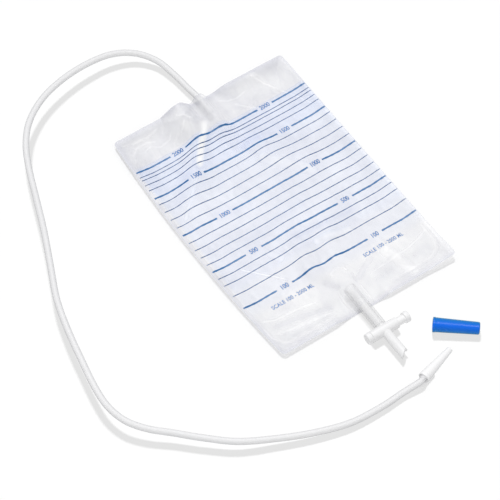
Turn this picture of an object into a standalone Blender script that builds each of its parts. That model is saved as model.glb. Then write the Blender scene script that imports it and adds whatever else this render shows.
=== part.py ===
"""Two-litre urine drainage bag, lying flat with its printed face up.

The pouch lies on the XY plane. +Y points to the inlet end, +X is to the right of
someone who reads the print with the inlet at the top, and the origin is the middle
of the underside of the back film. All sizes are in metres.
"""

import math

import bpy
import numpy as np
from mathutils import Matrix, Vector

# Film pouch
POUCH_WIDTH = 0.200
POUCH_LENGTH = 0.295
FILM = 0.0003
SEAT_GAP = 0.0003
FILM_CORNER = 0.004
LEFT_BOW = 0.0035
SIDE_WELD = 0.0045
END_WELD = 0.0090
WELD_CORNER = 0.015
SLACK_HEIGHT = 0.0015
SLACK_RISE = 0.020
CURL_HEIGHT = 0.0028
CURL_WIDTH = 0.022
CURL_CLEAR_OF_TUBES = (0.014, 0.034)
CORNER_CURL = 0.0030
CORNER_CURL_REACH = 0.040

# Wave where the loose top edge stands up beside the inlet
WAVE_X = -0.0240
WAVE_LEFT_WIDTH = 0.0330
WAVE_RIGHT_WIDTH = 0.0185
WAVE_HEIGHT = 0.0130
WAVE_REACH = 0.055

# Film drawn up over a tube
TENT_SPREAD = 1.35
TENT_POWER = 3.0
TENT_ROOM = 0.0002
TENT_FADE = 0.020

# Inlet: a stiff sleeve welded between the films, with the long tube bonded in it
PORT_X = 0.0
PORT_OUTER = 0.0050
PORT_STAND_OUT = 0.0015
PORT_LENGTH = 0.0340
TUBE_RADIUS = 0.0032
TUBE_IN_PORT = 0.0250

# Non-return valve: two film leaves below the inlet sleeve
LEAF_WIDTH = 0.026
LEAF_LENGTH = 0.056
LEAF_FROM_PORT = 0.002
LEAF_OPENING = 0.026

# Outlet tube welded between the films
OUTLET_X = -0.0075
OUTLET_OUTER = 0.0060
OUTLET_BORE = 0.0043
OUTLET_INSIDE = 0.0250

# Push-pull tap
TAP_FROM_EDGE = 0.0310
BARREL_OUTER = 0.0056
BARREL_BORE = 0.0045
BARREL_LENGTH = 0.0290
BARREL_CHAMFER = 0.0004
NIPPLE_LENGTH = 0.0395
NIPPLE_BORE = 0.00275
NIPPLE_LEAD = 0.0010
SPOUT_OUTER = 0.00475
SPOUT_BORE = 0.00325
SPOUT_LENGTH = 0.0345
SPOUT_BEVEL_DEG = 38.0
SPOUT_FLAT = 0.0008

# Plunger of the tap, drawn in its shut place
TRAVEL = 0.0080
STEM_RADIUS = 0.0042
HEAD_RADIUS = 0.0056
HEAD_LENGTH = 0.0050
HEAD_ROUND = 0.0010
HEAD_DISH = 0.0005
WAIST_RADIUS = 0.0020
WAIST_HALF = 0.0030
SEAL_FROM_WAIST = 0.0041
SEAL_SECTION = 0.0006
SEAL_CLEARANCE = 0.00008
GROOVE_ROOM = 0.00015

# Catheter connector on the far end of the long tube
CONNECTOR_LENGTH = 0.0420
CONNECTOR_WIDE = 0.00575
CONNECTOR_TIP = 0.0030
CONNECTOR_COLLAR = 0.0030
CONNECTOR_BORE = 0.0019
CONNECTOR_RECESS = 0.0030
CONNECTOR_WALL = 0.0010
SOCKET_DEPTH = 0.0140
CONNECTOR_POINT = (-0.0080, -0.2408)
CONNECTOR_HEADING_DEG = 17.3

# Cap, lying beside the connector
CAP_LENGTH = 0.0440
CAP_MOUTH = 0.0070
CAP_END = 0.0060
CAP_WALL = 0.0011
CAP_ROUND = 0.0016
CAP_BEAD = 0.0003
CAP_BEAD_LENGTH = 0.0022
CAP_POINT = (0.0331, -0.1996)
CAP_HEADING_DEG = -38.9

# Route of the long tube, which arches clear of the table and comes down to the connector
TUBE_ROUTE = (
    (-0.0017, 0.1638, 0.0056),
    (-0.0041, 0.1866, 0.0061),
    (-0.0097, 0.2094, 0.0078),
    (-0.0242, 0.2279, 0.0104),
    (-0.0462, 0.2380, 0.0130),
    (-0.0744, 0.2395, 0.0151),
    (-0.1046, 0.2350, 0.0168),
    (-0.1335, 0.2247, 0.0182),
    (-0.1586, 0.2074, 0.0192),
    (-0.1761, 0.1854, 0.0196),
    (-0.1889, 0.1587, 0.0196),
    (-0.2015, 0.1244, 0.0196),
    (-0.2152, 0.0873, 0.0196),
    (-0.2304, 0.0508, 0.0196),
    (-0.2457, 0.0141, 0.0198),
    (-0.2552, -0.0215, 0.0200),
    (-0.2619, -0.0565, 0.0199),
    (-0.2666, -0.0855, 0.0192),
    (-0.2675, -0.1089, 0.0178),
    (-0.2619, -0.1296, 0.0158),
    (-0.2493, -0.1470, 0.0137),
    (-0.2319, -0.1630, 0.0123),
    (-0.2121, -0.1821, 0.0115),
    (-0.1877, -0.2024, 0.0103),
    (-0.1566, -0.2183, 0.0080),
    (-0.1243, -0.2319, 0.0066),
    (-0.0904, -0.2415, 0.0053),
    (-0.0570, -0.2434, 0.0045),
    (-0.0328, -0.2422, 0.0044),
)
TUBE_POINTS = 78

# Folds in the slack front film: each runs through points of (x, y, height, half-width)
INLET_FOLD = (
    (-0.0240, 0.1350, 0.0060, 0.0120),
    (-0.0280, 0.1040, 0.0072, 0.0100),
    (-0.0430, 0.0860, 0.0062, 0.0100),
    (-0.0580, 0.0620, 0.0052, 0.0130),
    (-0.0750, 0.0390, 0.0042, 0.0160),
    (-0.0860, 0.0080, 0.0010, 0.0160),
)
SLEEVE_FOLD = (
    (-0.0040, 0.1160, 0.0058, 0.0100),
    (-0.0080, 0.0980, 0.0045, 0.0110),
    (-0.0180, 0.0780, 0.0015, 0.0120),
)
MIDDLE_FOLD = (
    (0.0180, 0.0740, 0.0015, 0.0120),
    (0.0200, 0.0560, 0.0042, 0.0140),
    (0.0320, 0.0400, 0.0034, 0.0150),
    (0.0470, 0.0280, 0.0032, 0.0140),
    (0.0600, 0.0060, 0.0008, 0.0140),
)
OUTLET_LEFT_FOLD = (
    (-0.0090, -0.1130, 0.0040, 0.0080),
    (-0.0230, -0.0820, 0.0048, 0.0090),
    (-0.0180, -0.0620, 0.0042, 0.0130),
    (-0.0100, -0.0440, 0.0030, 0.0150),
    (0.0050, -0.0200, 0.0018, 0.0180),
)
OUTLET_RIGHT_FOLD = (
    (-0.0050, -0.1130, 0.0040, 0.0080),
    (0.0030, -0.0820, 0.0042, 0.0090),
    (0.0130, -0.0560, 0.0038, 0.0130),
    (0.0240, -0.0400, 0.0008, 0.0130),
)
LOWER_RIGHT_FOLD = (
    (0.0470, -0.0960, 0.0010, 0.0070),
    (0.0550, -0.1180, 0.0024, 0.0070),
    (0.0590, -0.1320, 0.0030, 0.0070),
)
LOWER_LEFT_FOLD = (
    (-0.0900, -0.1060, 0.0012, 0.0060),
    (-0.0550, -0.1130, 0.0020, 0.0060),
    (-0.0230, -0.1220, 0.0026, 0.0060),
)
FOLDS = (
    INLET_FOLD,
    SLEEVE_FOLD,
    MIDDLE_FOLD,
    OUTLET_LEFT_FOLD,
    OUTLET_RIGHT_FOLD,
    LOWER_RIGHT_FOLD,
    LOWER_LEFT_FOLD,
)

# Facets and film cells
TUBE_SIDES = 32
SMALL_SIDES = 24
SEAL_SIDES = (24, 6)
ARC_STEPS = 3
ROUTE_STEPS = 24
TENT_CELLS_REACH = 1.6
CURL_CELLS = 3
SIDE_CELLS = (2, 4)
WAVE_CELLS = (7, 5)
TENT_CELLS = 16
OUTLET_CELLS = 4
FRONT_CELLS = 12
BACK_CELLS = 2
LEAF_CELLS = (12, 2, 6)

HALF_WIDTH = POUCH_WIDTH / 2
HALF_LENGTH = POUCH_LENGTH / 2
FILM_STACK = FILM + SEAT_GAP
PORT_BORE = TUBE_RADIUS + SEAT_GAP
PORT_Z = FILM_STACK + PORT_OUTER
PORT_MOUTH_Y = HALF_LENGTH + PORT_STAND_OUT
PORT_INNER_Y = PORT_MOUTH_Y - PORT_LENGTH
OUTLET_Z = FILM_STACK + OUTLET_OUTER
OUTLET_INNER_Y = -HALF_LENGTH + OUTLET_INSIDE
TAP_Y = -HALF_LENGTH - TAP_FROM_EDGE
SEAL_OUTER = BARREL_BORE - SEAL_CLEARANCE
SEAL_MIDDLE = SEAL_OUTER - SEAL_SECTION
SEAL_INNER = SEAL_MIDDLE - SEAL_SECTION


def smoothstep(t):
    """Ease from 0 to 1 as t goes from 0 to 1."""
    t = np.clip(t, 0.0, 1.0)
    return t * t * (3.0 - 2.0 * t)


def rounded_depth(x, y, half_x, half_y, radius):
    """Distance inside a rounded rectangle, negative outside."""
    out_x = np.abs(x) - (half_x - radius)
    out_y = np.abs(y) - (half_y - radius)
    outside = np.hypot(np.maximum(out_x, 0.0), np.maximum(out_y, 0.0))
    inside = np.minimum(np.maximum(out_x, out_y), 0.0)
    return radius - outside - inside


def edge_lift(x, y):
    """Height of both films over the table: a wave in the top edge and a slight curl all round."""
    away = x - WAVE_X
    across = np.clip(np.maximum(away / WAVE_RIGHT_WIDTH, -away / WAVE_LEFT_WIDTH), 0.0, 1.0)
    along = smoothstep(1.0 - (HALF_LENGTH - y) / WAVE_REACH)
    wave = WAVE_HEIGHT * along * 0.5 * (1.0 + np.cos(math.pi * across))
    return np.maximum(wave, edge_curl(x, y))


def edge_curl(x, y):
    """Height of the curl along the edges, most in the lower right corner, none at the tubes."""
    from_side = HALF_WIDTH - np.abs(x)
    from_end = HALF_LENGTH - np.abs(y)
    curl = CURL_HEIGHT * smoothstep(1.0 - np.minimum(from_side, from_end) / CURL_WIDTH)
    from_corner = np.hypot(x - HALF_WIDTH, y + HALF_LENGTH)
    curl = curl + CORNER_CURL * smoothstep(1.0 - from_corner / CORNER_CURL_REACH)
    tube_x = np.where(y > 0.0, PORT_X, OUTLET_X)
    near, far = CURL_CLEAR_OF_TUBES
    return curl * np.where(
        from_end < CURL_WIDTH, smoothstep((np.abs(x - tube_x) - near) / (far - near)), 1.0
    )


def tent(x, y, tube_x, tube_radius, inner_y):
    """Height of the film drawn up over a tube that leaves through an end of the pouch."""
    spread = TENT_SPREAD * (tube_radius + SEAT_GAP)
    across = np.exp(-((np.abs(x - tube_x) / spread) ** TENT_POWER))
    past_end = (inner_y - y) * math.copysign(1.0, inner_y)
    along = smoothstep(1.0 - (past_end - SEAT_GAP) / TENT_FADE)
    return (2.0 * tube_radius + SEAT_GAP + TENT_ROOM) * across * along


def fold_height(x, y, fold):
    """Height of one soft fold: a bell across it, with height and width eased along it."""
    height = np.zeros_like(x)
    for start, end in zip(fold, fold[1:]):
        run = np.subtract(end[:2], start[:2])
        share = ((x - start[0]) * run[0] + (y - start[1]) * run[1]) / (run @ run)
        share = np.clip(share, 0.0, 1.0)
        away = np.hypot(x - start[0] - share * run[0], y - start[1] - share * run[1])
        top = start[2] + share * (end[2] - start[2])
        half_width = start[3] + share * (end[3] - start[3])
        height = np.maximum(height, top * np.exp(-((away / half_width) ** 2)))
    return height


def slack(x, y):
    """Height of the loose front film, which starts at the welded border."""
    weld_x = HALF_WIDTH - SIDE_WELD
    weld_y = HALF_LENGTH - END_WELD
    rise = smoothstep(rounded_depth(x, y, weld_x, weld_y, WELD_CORNER) / SLACK_RISE)
    folds = sum(fold_height(x, y, fold) for fold in FOLDS)
    return rise * (SLACK_HEIGHT + folds)


def pouch_height(x, y):
    """Height between the films, with the front film resting on the tubes inside."""
    inlet = tent(x, y, PORT_X, PORT_OUTER, PORT_INNER_Y)
    outlet = tent(x, y, OUTLET_X, OUTLET_OUTER, OUTLET_INNER_Y)
    tents = inlet + outlet
    return tents + slack(x, y) * (1.0 - np.clip(tents / (2.0 * PORT_OUTER), 0.0, 1.0))


def back_surface(x, y):
    """Underside of the back film."""
    return edge_lift(x, y)


def front_surface(x, y):
    """Underside of the front film."""
    return edge_lift(x, y) + FILM_STACK + pouch_height(x, y)


def lower_leaf_surface(x, y):
    """Underside of the leaf that lies on the back film."""
    return edge_lift(x, y) + FILM_STACK


def upper_leaf_surface(x, y):
    """Underside of the leaf that hangs from the front film and rests on the lower leaf."""
    closed = lower_leaf_surface(x, y) + FILM_STACK
    hung = np.maximum(closed, front_surface(x, y) - FILM - 3.0 * SEAT_GAP)
    top = PORT_INNER_Y - LEAF_FROM_PORT
    return closed + (hung - closed) * smoothstep(1.0 - (top - y) / LEAF_OPENING)


def stations(*bands):
    """Grid lines from bands of (from, to, number of cells)."""
    lines = [np.linspace(start, end, round(cells) + 1)[:-1] for start, end, cells in bands]
    return np.append(np.concatenate(lines), bands[-1][1])


def make_material(name, colour, roughness):
    """Principled material in the piece's colour."""
    material = bpy.data.materials.new(name)
    material.use_nodes = True
    shader = material.node_tree.nodes["Principled BSDF"]
    shader.inputs["Base Color"].default_value = (*colour, 1.0)
    shader.inputs["Roughness"].default_value = roughness
    material.diffuse_color = (*colour, 1.0)
    return material


def move_to(thing, collection):
    """Put an object in one collection only."""
    for old in list(thing.users_collection):
        old.objects.unlink(thing)
    collection.objects.link(thing)


def film_sheet(name, columns, rows, surface, collection, material):
    """Sheet of film on a grid: surface gives its underside, Solidify its thickness."""
    bpy.ops.mesh.primitive_grid_add(
        x_subdivisions=len(columns) - 1, y_subdivisions=len(rows) - 1, size=1.0
    )
    sheet = bpy.context.object
    sheet.name = name
    grid = np.empty(len(sheet.data.vertices) * 3)
    sheet.data.vertices.foreach_get("co", grid)
    grid = grid.reshape(-1, 3)
    x = columns[np.rint((grid[:, 0] + 0.5) * (len(columns) - 1)).astype(int)]
    y = rows[np.rint((grid[:, 1] + 0.5) * (len(rows) - 1)).astype(int)]
    x, y = round_corners(x, y)
    height = surface(x, y)
    bow = LEFT_BOW * (1.0 - (y / HALF_LENGTH) ** 2) * np.clip(-x / HALF_WIDTH, 0.0, 1.0)
    sheet.data.vertices.foreach_set("co", np.column_stack([x - bow, y, height]).ravel())
    sheet.data.shade_smooth()
    solidify = sheet.modifiers.new("film thickness", "SOLIDIFY")
    solidify.thickness = FILM
    solidify.offset = 1.0
    sheet.data.materials.append(material)
    move_to(sheet, collection)
    return sheet


def round_corners(x, y):
    """Pull the points of the pouch's corners onto their radius."""
    centre_x = HALF_WIDTH - FILM_CORNER
    centre_y = HALF_LENGTH - FILM_CORNER
    out_x = np.maximum(np.abs(x) - centre_x, 0.0)
    out_y = np.maximum(np.abs(y) - centre_y, 0.0)
    reach = np.hypot(out_x, out_y)
    scale = np.where(reach > FILM_CORNER, FILM_CORNER / np.maximum(reach, FILM_CORNER), 1.0)
    round_x = np.where(out_x > 0.0, np.sign(x) * (centre_x + out_x * scale), x)
    round_y = np.where(out_y > 0.0, np.sign(y) * (centre_y + out_y * scale), y)
    return round_x, round_y


def arc(centre, radius, start_deg, end_deg):
    """Points of an arc in a turned profile, as (radius, height)."""
    angles = np.radians(np.linspace(start_deg, end_deg, ARC_STEPS + 1))
    return [(centre[0] + radius * math.cos(a), centre[1] + radius * math.sin(a)) for a in angles]


def turned(name, profile, sides, placement, collection, material, closed=False):
    """Piece turned about its own Z from a profile of (radius, height) points."""
    mesh = bpy.data.meshes.new(name)
    points = [(radius, 0.0, height) for radius, height in profile]
    edges = [(i, i + 1) for i in range(len(points) - 1)]
    if closed:
        edges.append((len(points) - 1, 0))
    mesh.from_pydata(points, edges, [])
    piece = bpy.data.objects.new(name, mesh)
    piece.matrix_world = placement
    screw = piece.modifiers.new("turn", "SCREW")
    screw.steps = sides
    screw.render_steps = sides
    screw.use_merge_vertices = True
    screw.merge_threshold = 0.00001
    screw.use_smooth_shade = True
    mesh.materials.append(material)
    collection.objects.link(piece)
    return piece


def tube_profile(outer, bore, length, chamfer=0.0):
    """Closed profile of a plain tube from height 0 to its length."""
    return [
        (outer - chamfer, length),
        (outer, length - chamfer),
        (outer, chamfer),
        (outer - chamfer, 0.0),
        (bore, 0.0),
        (bore, length),
    ] if chamfer else [(outer, length), (outer, 0.0), (bore, 0.0), (bore, length)]


def rod_profile(radius, bottom, top):
    """Profile of a plain rod."""
    return [(0.0, top), (radius, top), (radius, bottom), (0.0, bottom)]


def along(direction, origin):
    """Placement that turns a piece's own Z to a direction."""
    turn = Vector((0.0, 0.0, 1.0)).rotation_difference(Vector(direction)).to_matrix()
    return Matrix.Translation(origin) @ turn.to_4x4()


def half_facet(sides):
    """Turn by half a facet, which keeps the edges of crossing round shapes apart."""
    return Matrix.Rotation(math.pi / sides, 4, "Z")


def hide_cutter(cutter):
    """Mark a helper solid so that it stays out of the model."""
    cutter.hide_render = True
    cutter.display_type = "WIRE"


def boolean(piece, other, operation):
    """Join a helper solid to a piece or cut it away."""
    modifier = piece.modifiers.new(f"{operation.lower()} {other.name}", "BOOLEAN")
    modifier.operation = operation
    modifier.object = other
    modifier.solver = "EXACT"


def make_films(parts, film, leaf_film):
    """Back film, front film and the two leaves of the non-return valve."""
    wave_left = WAVE_X - WAVE_LEFT_WIDTH
    wave_right = WAVE_X + WAVE_RIGHT_WIDTH
    port_reach = TENT_CELLS_REACH * TENT_SPREAD * PORT_OUTER
    outlet_reach = TENT_CELLS_REACH * TENT_SPREAD * OUTLET_OUTER
    tent_left = min(PORT_X - port_reach, OUTLET_X - outlet_reach)
    tent_right = max(PORT_X + port_reach, OUTLET_X + outlet_reach)
    fine_from = min(tent_left, wave_right)
    curl_left = -HALF_WIDTH + CURL_WIDTH
    curl_right = HALF_WIDTH - CURL_WIDTH
    columns = stations(
        (-HALF_WIDTH, -HALF_WIDTH + FILM_CORNER, 1),
        (-HALF_WIDTH + FILM_CORNER, curl_left, CURL_CELLS),
        (curl_left, wave_left, SIDE_CELLS[0]),
        (wave_left, fine_from, WAVE_CELLS[0]),
        (fine_from, tent_right, TENT_CELLS),
        (tent_right, curl_right, SIDE_CELLS[1]),
        (curl_right, HALF_WIDTH - FILM_CORNER, CURL_CELLS),
        (HALF_WIDTH - FILM_CORNER, HALF_WIDTH, 1),
    )
    curl_bottom = -HALF_LENGTH + CURL_WIDTH
    curl_top = HALF_LENGTH - CURL_WIDTH
    outlet_foot = OUTLET_INNER_Y + TENT_FADE
    wave_foot = HALF_LENGTH - WAVE_REACH
    bottom_rows = (
        (-HALF_LENGTH, -HALF_LENGTH + FILM_CORNER, 1),
        (-HALF_LENGTH + FILM_CORNER, curl_bottom, CURL_CELLS),
        (curl_bottom, outlet_foot, OUTLET_CELLS),
    )
    top_rows = (
        (wave_foot, curl_top, WAVE_CELLS[1]),
        (curl_top, HALF_LENGTH - FILM_CORNER, CURL_CELLS),
        (HALF_LENGTH - FILM_CORNER, HALF_LENGTH, 1),
    )
    front_rows = stations(*bottom_rows, (outlet_foot, wave_foot, FRONT_CELLS), *top_rows)
    back_rows = stations(*bottom_rows, (outlet_foot, wave_foot, BACK_CELLS), *top_rows)
    film_sheet("back_film", columns, back_rows, back_surface, parts, film)
    film_sheet("front_film", columns, front_rows, front_surface, parts, film)
    leaf_top = PORT_INNER_Y - LEAF_FROM_PORT
    leaf_half = LEAF_WIDTH / 2
    leaf_columns = stations((PORT_X - leaf_half, PORT_X + leaf_half, LEAF_CELLS[0]))
    leaf_rows = stations(
        (leaf_top - LEAF_LENGTH, leaf_top - LEAF_OPENING, LEAF_CELLS[1]),
        (leaf_top - LEAF_OPENING, leaf_top, LEAF_CELLS[2]),
    )
    film_sheet(
        "nonreturn_leaf_lower", leaf_columns, leaf_rows, lower_leaf_surface, parts, leaf_film
    )
    film_sheet(
        "nonreturn_leaf_upper", leaf_columns, leaf_rows, upper_leaf_surface, parts, leaf_film
    )


def make_inlet(parts, port_plastic):
    """Sleeve in the top weld, which holds the long tube."""
    turned(
        "inlet_sleeve",
        tube_profile(PORT_OUTER, PORT_BORE, PORT_LENGTH, SEAT_GAP),
        TUBE_SIDES,
        along((0.0, 1.0, 0.0), (PORT_X, PORT_INNER_Y, PORT_Z)),
        parts,
        port_plastic,
        closed=True,
    )


def make_outlet_tube(parts, tube_plastic):
    """Short soft tube from inside the pouch to the tap's barrel."""
    start_y = TAP_Y + BARREL_OUTER + SEAT_GAP
    turned(
        "outlet_tube",
        tube_profile(OUTLET_OUTER, OUTLET_BORE, OUTLET_INNER_Y - start_y),
        TUBE_SIDES,
        along((0.0, 1.0, 0.0), (OUTLET_X, start_y, OUTLET_Z)),
        parts,
        tube_plastic,
        closed=True,
    )


def make_tap_body(parts, cutters, tap_plastic):
    """Barrel across, nipple up into the outlet tube and a spout cut on the slant."""
    centre = (OUTLET_X, TAP_Y, OUTLET_Z)
    half = BARREL_LENGTH / 2
    body = turned(
        "tap_body",
        [
            (0.0, half),
            (BARREL_OUTER - BARREL_CHAMFER, half),
            (BARREL_OUTER, half - BARREL_CHAMFER),
            (BARREL_OUTER, -half + BARREL_CHAMFER),
            (BARREL_OUTER - BARREL_CHAMFER, -half),
            (0.0, -half),
        ],
        TUBE_SIDES,
        along((1.0, 0.0, 0.0), centre) @ half_facet(TUBE_SIDES),
        parts,
        tap_plastic,
    )
    nipple_outer = OUTLET_BORE - SEAT_GAP
    nipple = turned(
        "nipple_blank",
        [
            (0.0, NIPPLE_LENGTH),
            (nipple_outer - NIPPLE_LEAD / 2, NIPPLE_LENGTH),
            (nipple_outer, NIPPLE_LENGTH - NIPPLE_LEAD),
            (nipple_outer, 0.0),
            (0.0, 0.0),
        ],
        SMALL_SIDES,
        along((0.0, 1.0, 0.0), centre),
        cutters,
        tap_plastic,
    )
    spout = turned(
        "spout_blank",
        rod_profile(SPOUT_OUTER, 0.0, SPOUT_LENGTH),
        SMALL_SIDES,
        along((0.0, -1.0, 0.0), centre),
        cutters,
        tap_plastic,
    )
    boolean(spout, make_spout_bevel(centre, cutters), "DIFFERENCE")
    bore = turned(
        "barrel_bore_cutter",
        rod_profile(BARREL_BORE, -BARREL_LENGTH, BARREL_LENGTH),
        TUBE_SIDES,
        along((1.0, 0.0, 0.0), centre),
        cutters,
        tap_plastic,
    )
    waterway = turned(
        "waterway_cutter",
        [
            (0.0, NIPPLE_LENGTH + NIPPLE_LEAD),
            (NIPPLE_BORE, NIPPLE_LENGTH + NIPPLE_LEAD),
            (NIPPLE_BORE, 0.0),
            (SPOUT_BORE, 0.0),
            (SPOUT_BORE, -SPOUT_LENGTH - SPOUT_OUTER),
            (0.0, -SPOUT_LENGTH - SPOUT_OUTER),
        ],
        SMALL_SIDES,
        along((0.0, 1.0, 0.0), centre) @ half_facet(SMALL_SIDES),
        cutters,
        tap_plastic,
    )
    boolean(body, nipple, "UNION")
    boolean(body, spout, "UNION")
    boolean(body, bore, "DIFFERENCE")
    boolean(body, waterway, "DIFFERENCE")
    for helper in (nipple, spout, bore, waterway):
        hide_cutter(helper)


def make_spout_bevel(centre, cutters):
    """Block that cuts the spout's end on the slant, its long side at -X."""
    size = 4.0 * SPOUT_OUTER
    bpy.ops.mesh.primitive_cube_add(size=size)
    block = bpy.context.object
    block.name = "spout_bevel_cutter"
    slant = Matrix.Rotation(math.radians(SPOUT_BEVEL_DEG), 4, "Z")
    slant_from = centre[0] - SPOUT_OUTER + SPOUT_FLAT
    tip = Vector((slant_from, centre[1] - SPOUT_LENGTH, centre[2]))
    block.matrix_world = Matrix.Translation(tip) @ slant @ Matrix.Translation((0, -size / 2, 0))
    move_to(block, cutters)
    hide_cutter(block)
    return block


def make_plunger(parts, plunger_plastic, seal_rubber):
    """Push-pull plunger with a thumb pad on each end and three seals round its stem."""
    face = BARREL_LENGTH / 2 + SEAT_GAP
    low_pad = -face - HEAD_LENGTH
    high_face = face + TRAVEL
    high_pad = high_face + HEAD_LENGTH
    seal_places = (
        SEAL_FROM_WAIST - TRAVEL,
        TRAVEL - SEAL_FROM_WAIST,
        TRAVEL + SEAL_FROM_WAIST,
    )
    groove_half = SEAL_SECTION + GROOVE_ROOM
    groove_floor = SEAL_INNER - GROOVE_ROOM
    inner_round = HEAD_RADIUS - HEAD_ROUND
    profile = [(0.0, high_pad - HEAD_DISH), (inner_round - HEAD_ROUND, high_pad)]
    profile += arc((inner_round, high_pad - HEAD_ROUND), HEAD_ROUND, 90, 0)
    profile += [(HEAD_RADIUS, high_face), (STEM_RADIUS, high_face)]
    waist = [
        (STEM_RADIUS, TRAVEL + WAIST_HALF),
        (WAIST_RADIUS, TRAVEL + WAIST_HALF),
        (WAIST_RADIUS, TRAVEL - WAIST_HALF),
        (STEM_RADIUS, TRAVEL - WAIST_HALF),
    ]
    for place in reversed(seal_places):
        profile += [
            (STEM_RADIUS, place + groove_half),
            (groove_floor, place + groove_half),
            (groove_floor, place - groove_half),
            (STEM_RADIUS, place - groove_half),
        ]
        if place == seal_places[-1]:
            profile += waist
    profile += [(STEM_RADIUS, -face), (HEAD_RADIUS, -face)]
    profile += arc((inner_round, low_pad + HEAD_ROUND), HEAD_ROUND, 0, -90)
    profile += [(inner_round - HEAD_ROUND, low_pad), (0.0, low_pad + HEAD_DISH)]
    centre = (OUTLET_X, TAP_Y, OUTLET_Z)
    across = along((1.0, 0.0, 0.0), centre)
    turned("tap_plunger", profile, SMALL_SIDES, across, parts, plunger_plastic)
    for number, place in enumerate(seal_places, start=1):
        bpy.ops.mesh.primitive_torus_add(
            major_segments=SEAL_SIDES[0],
            minor_segments=SEAL_SIDES[1],
            major_radius=SEAL_MIDDLE,
            minor_radius=SEAL_SECTION,
        )
        ring = bpy.context.object
        ring.name = f"plunger_seal_{number}"
        ring.matrix_world = across @ Matrix.Translation((0.0, 0.0, place))
        ring.data.shade_smooth()
        ring.data.materials.append(seal_rubber)
        move_to(ring, parts)


def lying_axis(wide, narrow, length, heading_deg):
    """Direction of a cone's axis when the cone lies on its side, from wide to narrow end."""
    drop = math.asin((wide - narrow) / length)
    heading = math.radians(heading_deg)
    return Vector(
        (
            math.cos(heading) * math.cos(drop),
            math.sin(heading) * math.cos(drop),
            -math.sin(drop),
        )
    )


def connector_placement():
    """Middle of the connector's wide end and the direction of its axis."""
    axis = lying_axis(CONNECTOR_WIDE, CONNECTOR_TIP, CONNECTOR_LENGTH, CONNECTOR_HEADING_DEG)
    height = CONNECTOR_WIDE * math.hypot(axis.x, axis.y)
    return Vector((*CONNECTOR_POINT, height)), axis


def make_connector(parts, connector_plastic):
    """Tapered catheter connector, open at both ends, with the tube's socket inside."""
    origin, axis = connector_placement()
    socket = TUBE_RADIUS + SEAT_GAP
    taper = (CONNECTOR_WIDE - CONNECTOR_TIP) / (CONNECTOR_LENGTH - CONNECTOR_COLLAR)
    profile = [
        (CONNECTOR_TIP - SEAT_GAP, CONNECTOR_LENGTH),
        (CONNECTOR_TIP, CONNECTOR_LENGTH - SEAT_GAP),
        (CONNECTOR_WIDE - taper * CONNECTOR_COLLAR, 2.0 * CONNECTOR_COLLAR),
        (CONNECTOR_WIDE - taper * CONNECTOR_COLLAR / 2, CONNECTOR_COLLAR),
        (CONNECTOR_WIDE, CONNECTOR_COLLAR),
        (CONNECTOR_WIDE, SEAT_GAP),
        (CONNECTOR_WIDE - SEAT_GAP, 0.0),
        (CONNECTOR_WIDE - CONNECTOR_WALL, 0.0),
        (CONNECTOR_WIDE - CONNECTOR_WALL, CONNECTOR_RECESS),
        (socket, CONNECTOR_RECESS),
        (socket, SOCKET_DEPTH),
        (CONNECTOR_BORE, SOCKET_DEPTH),
        (CONNECTOR_BORE, CONNECTOR_LENGTH),
    ]
    turned(
        "catheter_connector",
        profile,
        SMALL_SIDES,
        along(axis, origin),
        parts,
        connector_plastic,
        closed=True,
    )


def make_cap(parts, cap_plastic):
    """Push-on cap with a bead round its mouth and a rounded blind end."""
    axis = lying_axis(CAP_MOUTH, CAP_END, CAP_LENGTH, CAP_HEADING_DEG)
    height = (CAP_MOUTH + CAP_BEAD) * math.hypot(axis.x, axis.y)
    inner_end = CAP_LENGTH - CAP_WALL
    inner_round = CAP_ROUND / 2
    profile = [(0.0, CAP_LENGTH), (CAP_END - CAP_ROUND, CAP_LENGTH)]
    profile += arc((CAP_END - CAP_ROUND, CAP_LENGTH - CAP_ROUND), CAP_ROUND, 90, 0)[1:]
    profile += [
        (CAP_MOUTH, CAP_BEAD_LENGTH + CAP_BEAD),
        (CAP_MOUTH + CAP_BEAD, CAP_BEAD_LENGTH),
        (CAP_MOUTH + CAP_BEAD, 0.0),
        (CAP_MOUTH - CAP_WALL, 0.0),
        (CAP_END - CAP_WALL, inner_end - inner_round),
        (CAP_END - CAP_WALL - inner_round, inner_end),
        (0.0, inner_end),
    ]
    turned(
        "connector_cap",
        profile,
        TUBE_SIDES,
        along(axis, (*CAP_POINT, height)),
        parts,
        cap_plastic,
    )


def smooth_route(points, count):
    """Evenly spaced points on a Catmull-Rom curve through the route's points."""
    knots = np.array(points)
    ends = np.vstack([2 * knots[0] - knots[1], knots, 2 * knots[-1] - knots[-2]])
    t = np.linspace(0.0, 1.0, ROUTE_STEPS, endpoint=False)[:, None]
    spans = []
    for a, b, c, d in zip(ends[:-3], ends[1:-2], ends[2:-1], ends[3:]):
        spans.append(
            b
            + 0.5 * t * (c - a)
            + t**2 * (a - 2.5 * b + 2.0 * c - 0.5 * d)
            + 0.5 * t**3 * (3.0 * b - a - 3.0 * c + d)
        )
    curve = np.vstack([*spans, knots[-1:]])
    steps = np.linalg.norm(np.diff(curve, axis=0), axis=1)
    run = np.concatenate([[0.0], np.cumsum(steps)])
    even = np.linspace(0.0, run[-1], count)
    return np.column_stack([np.interp(even, run, curve[:, k]) for k in range(3)])


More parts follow.
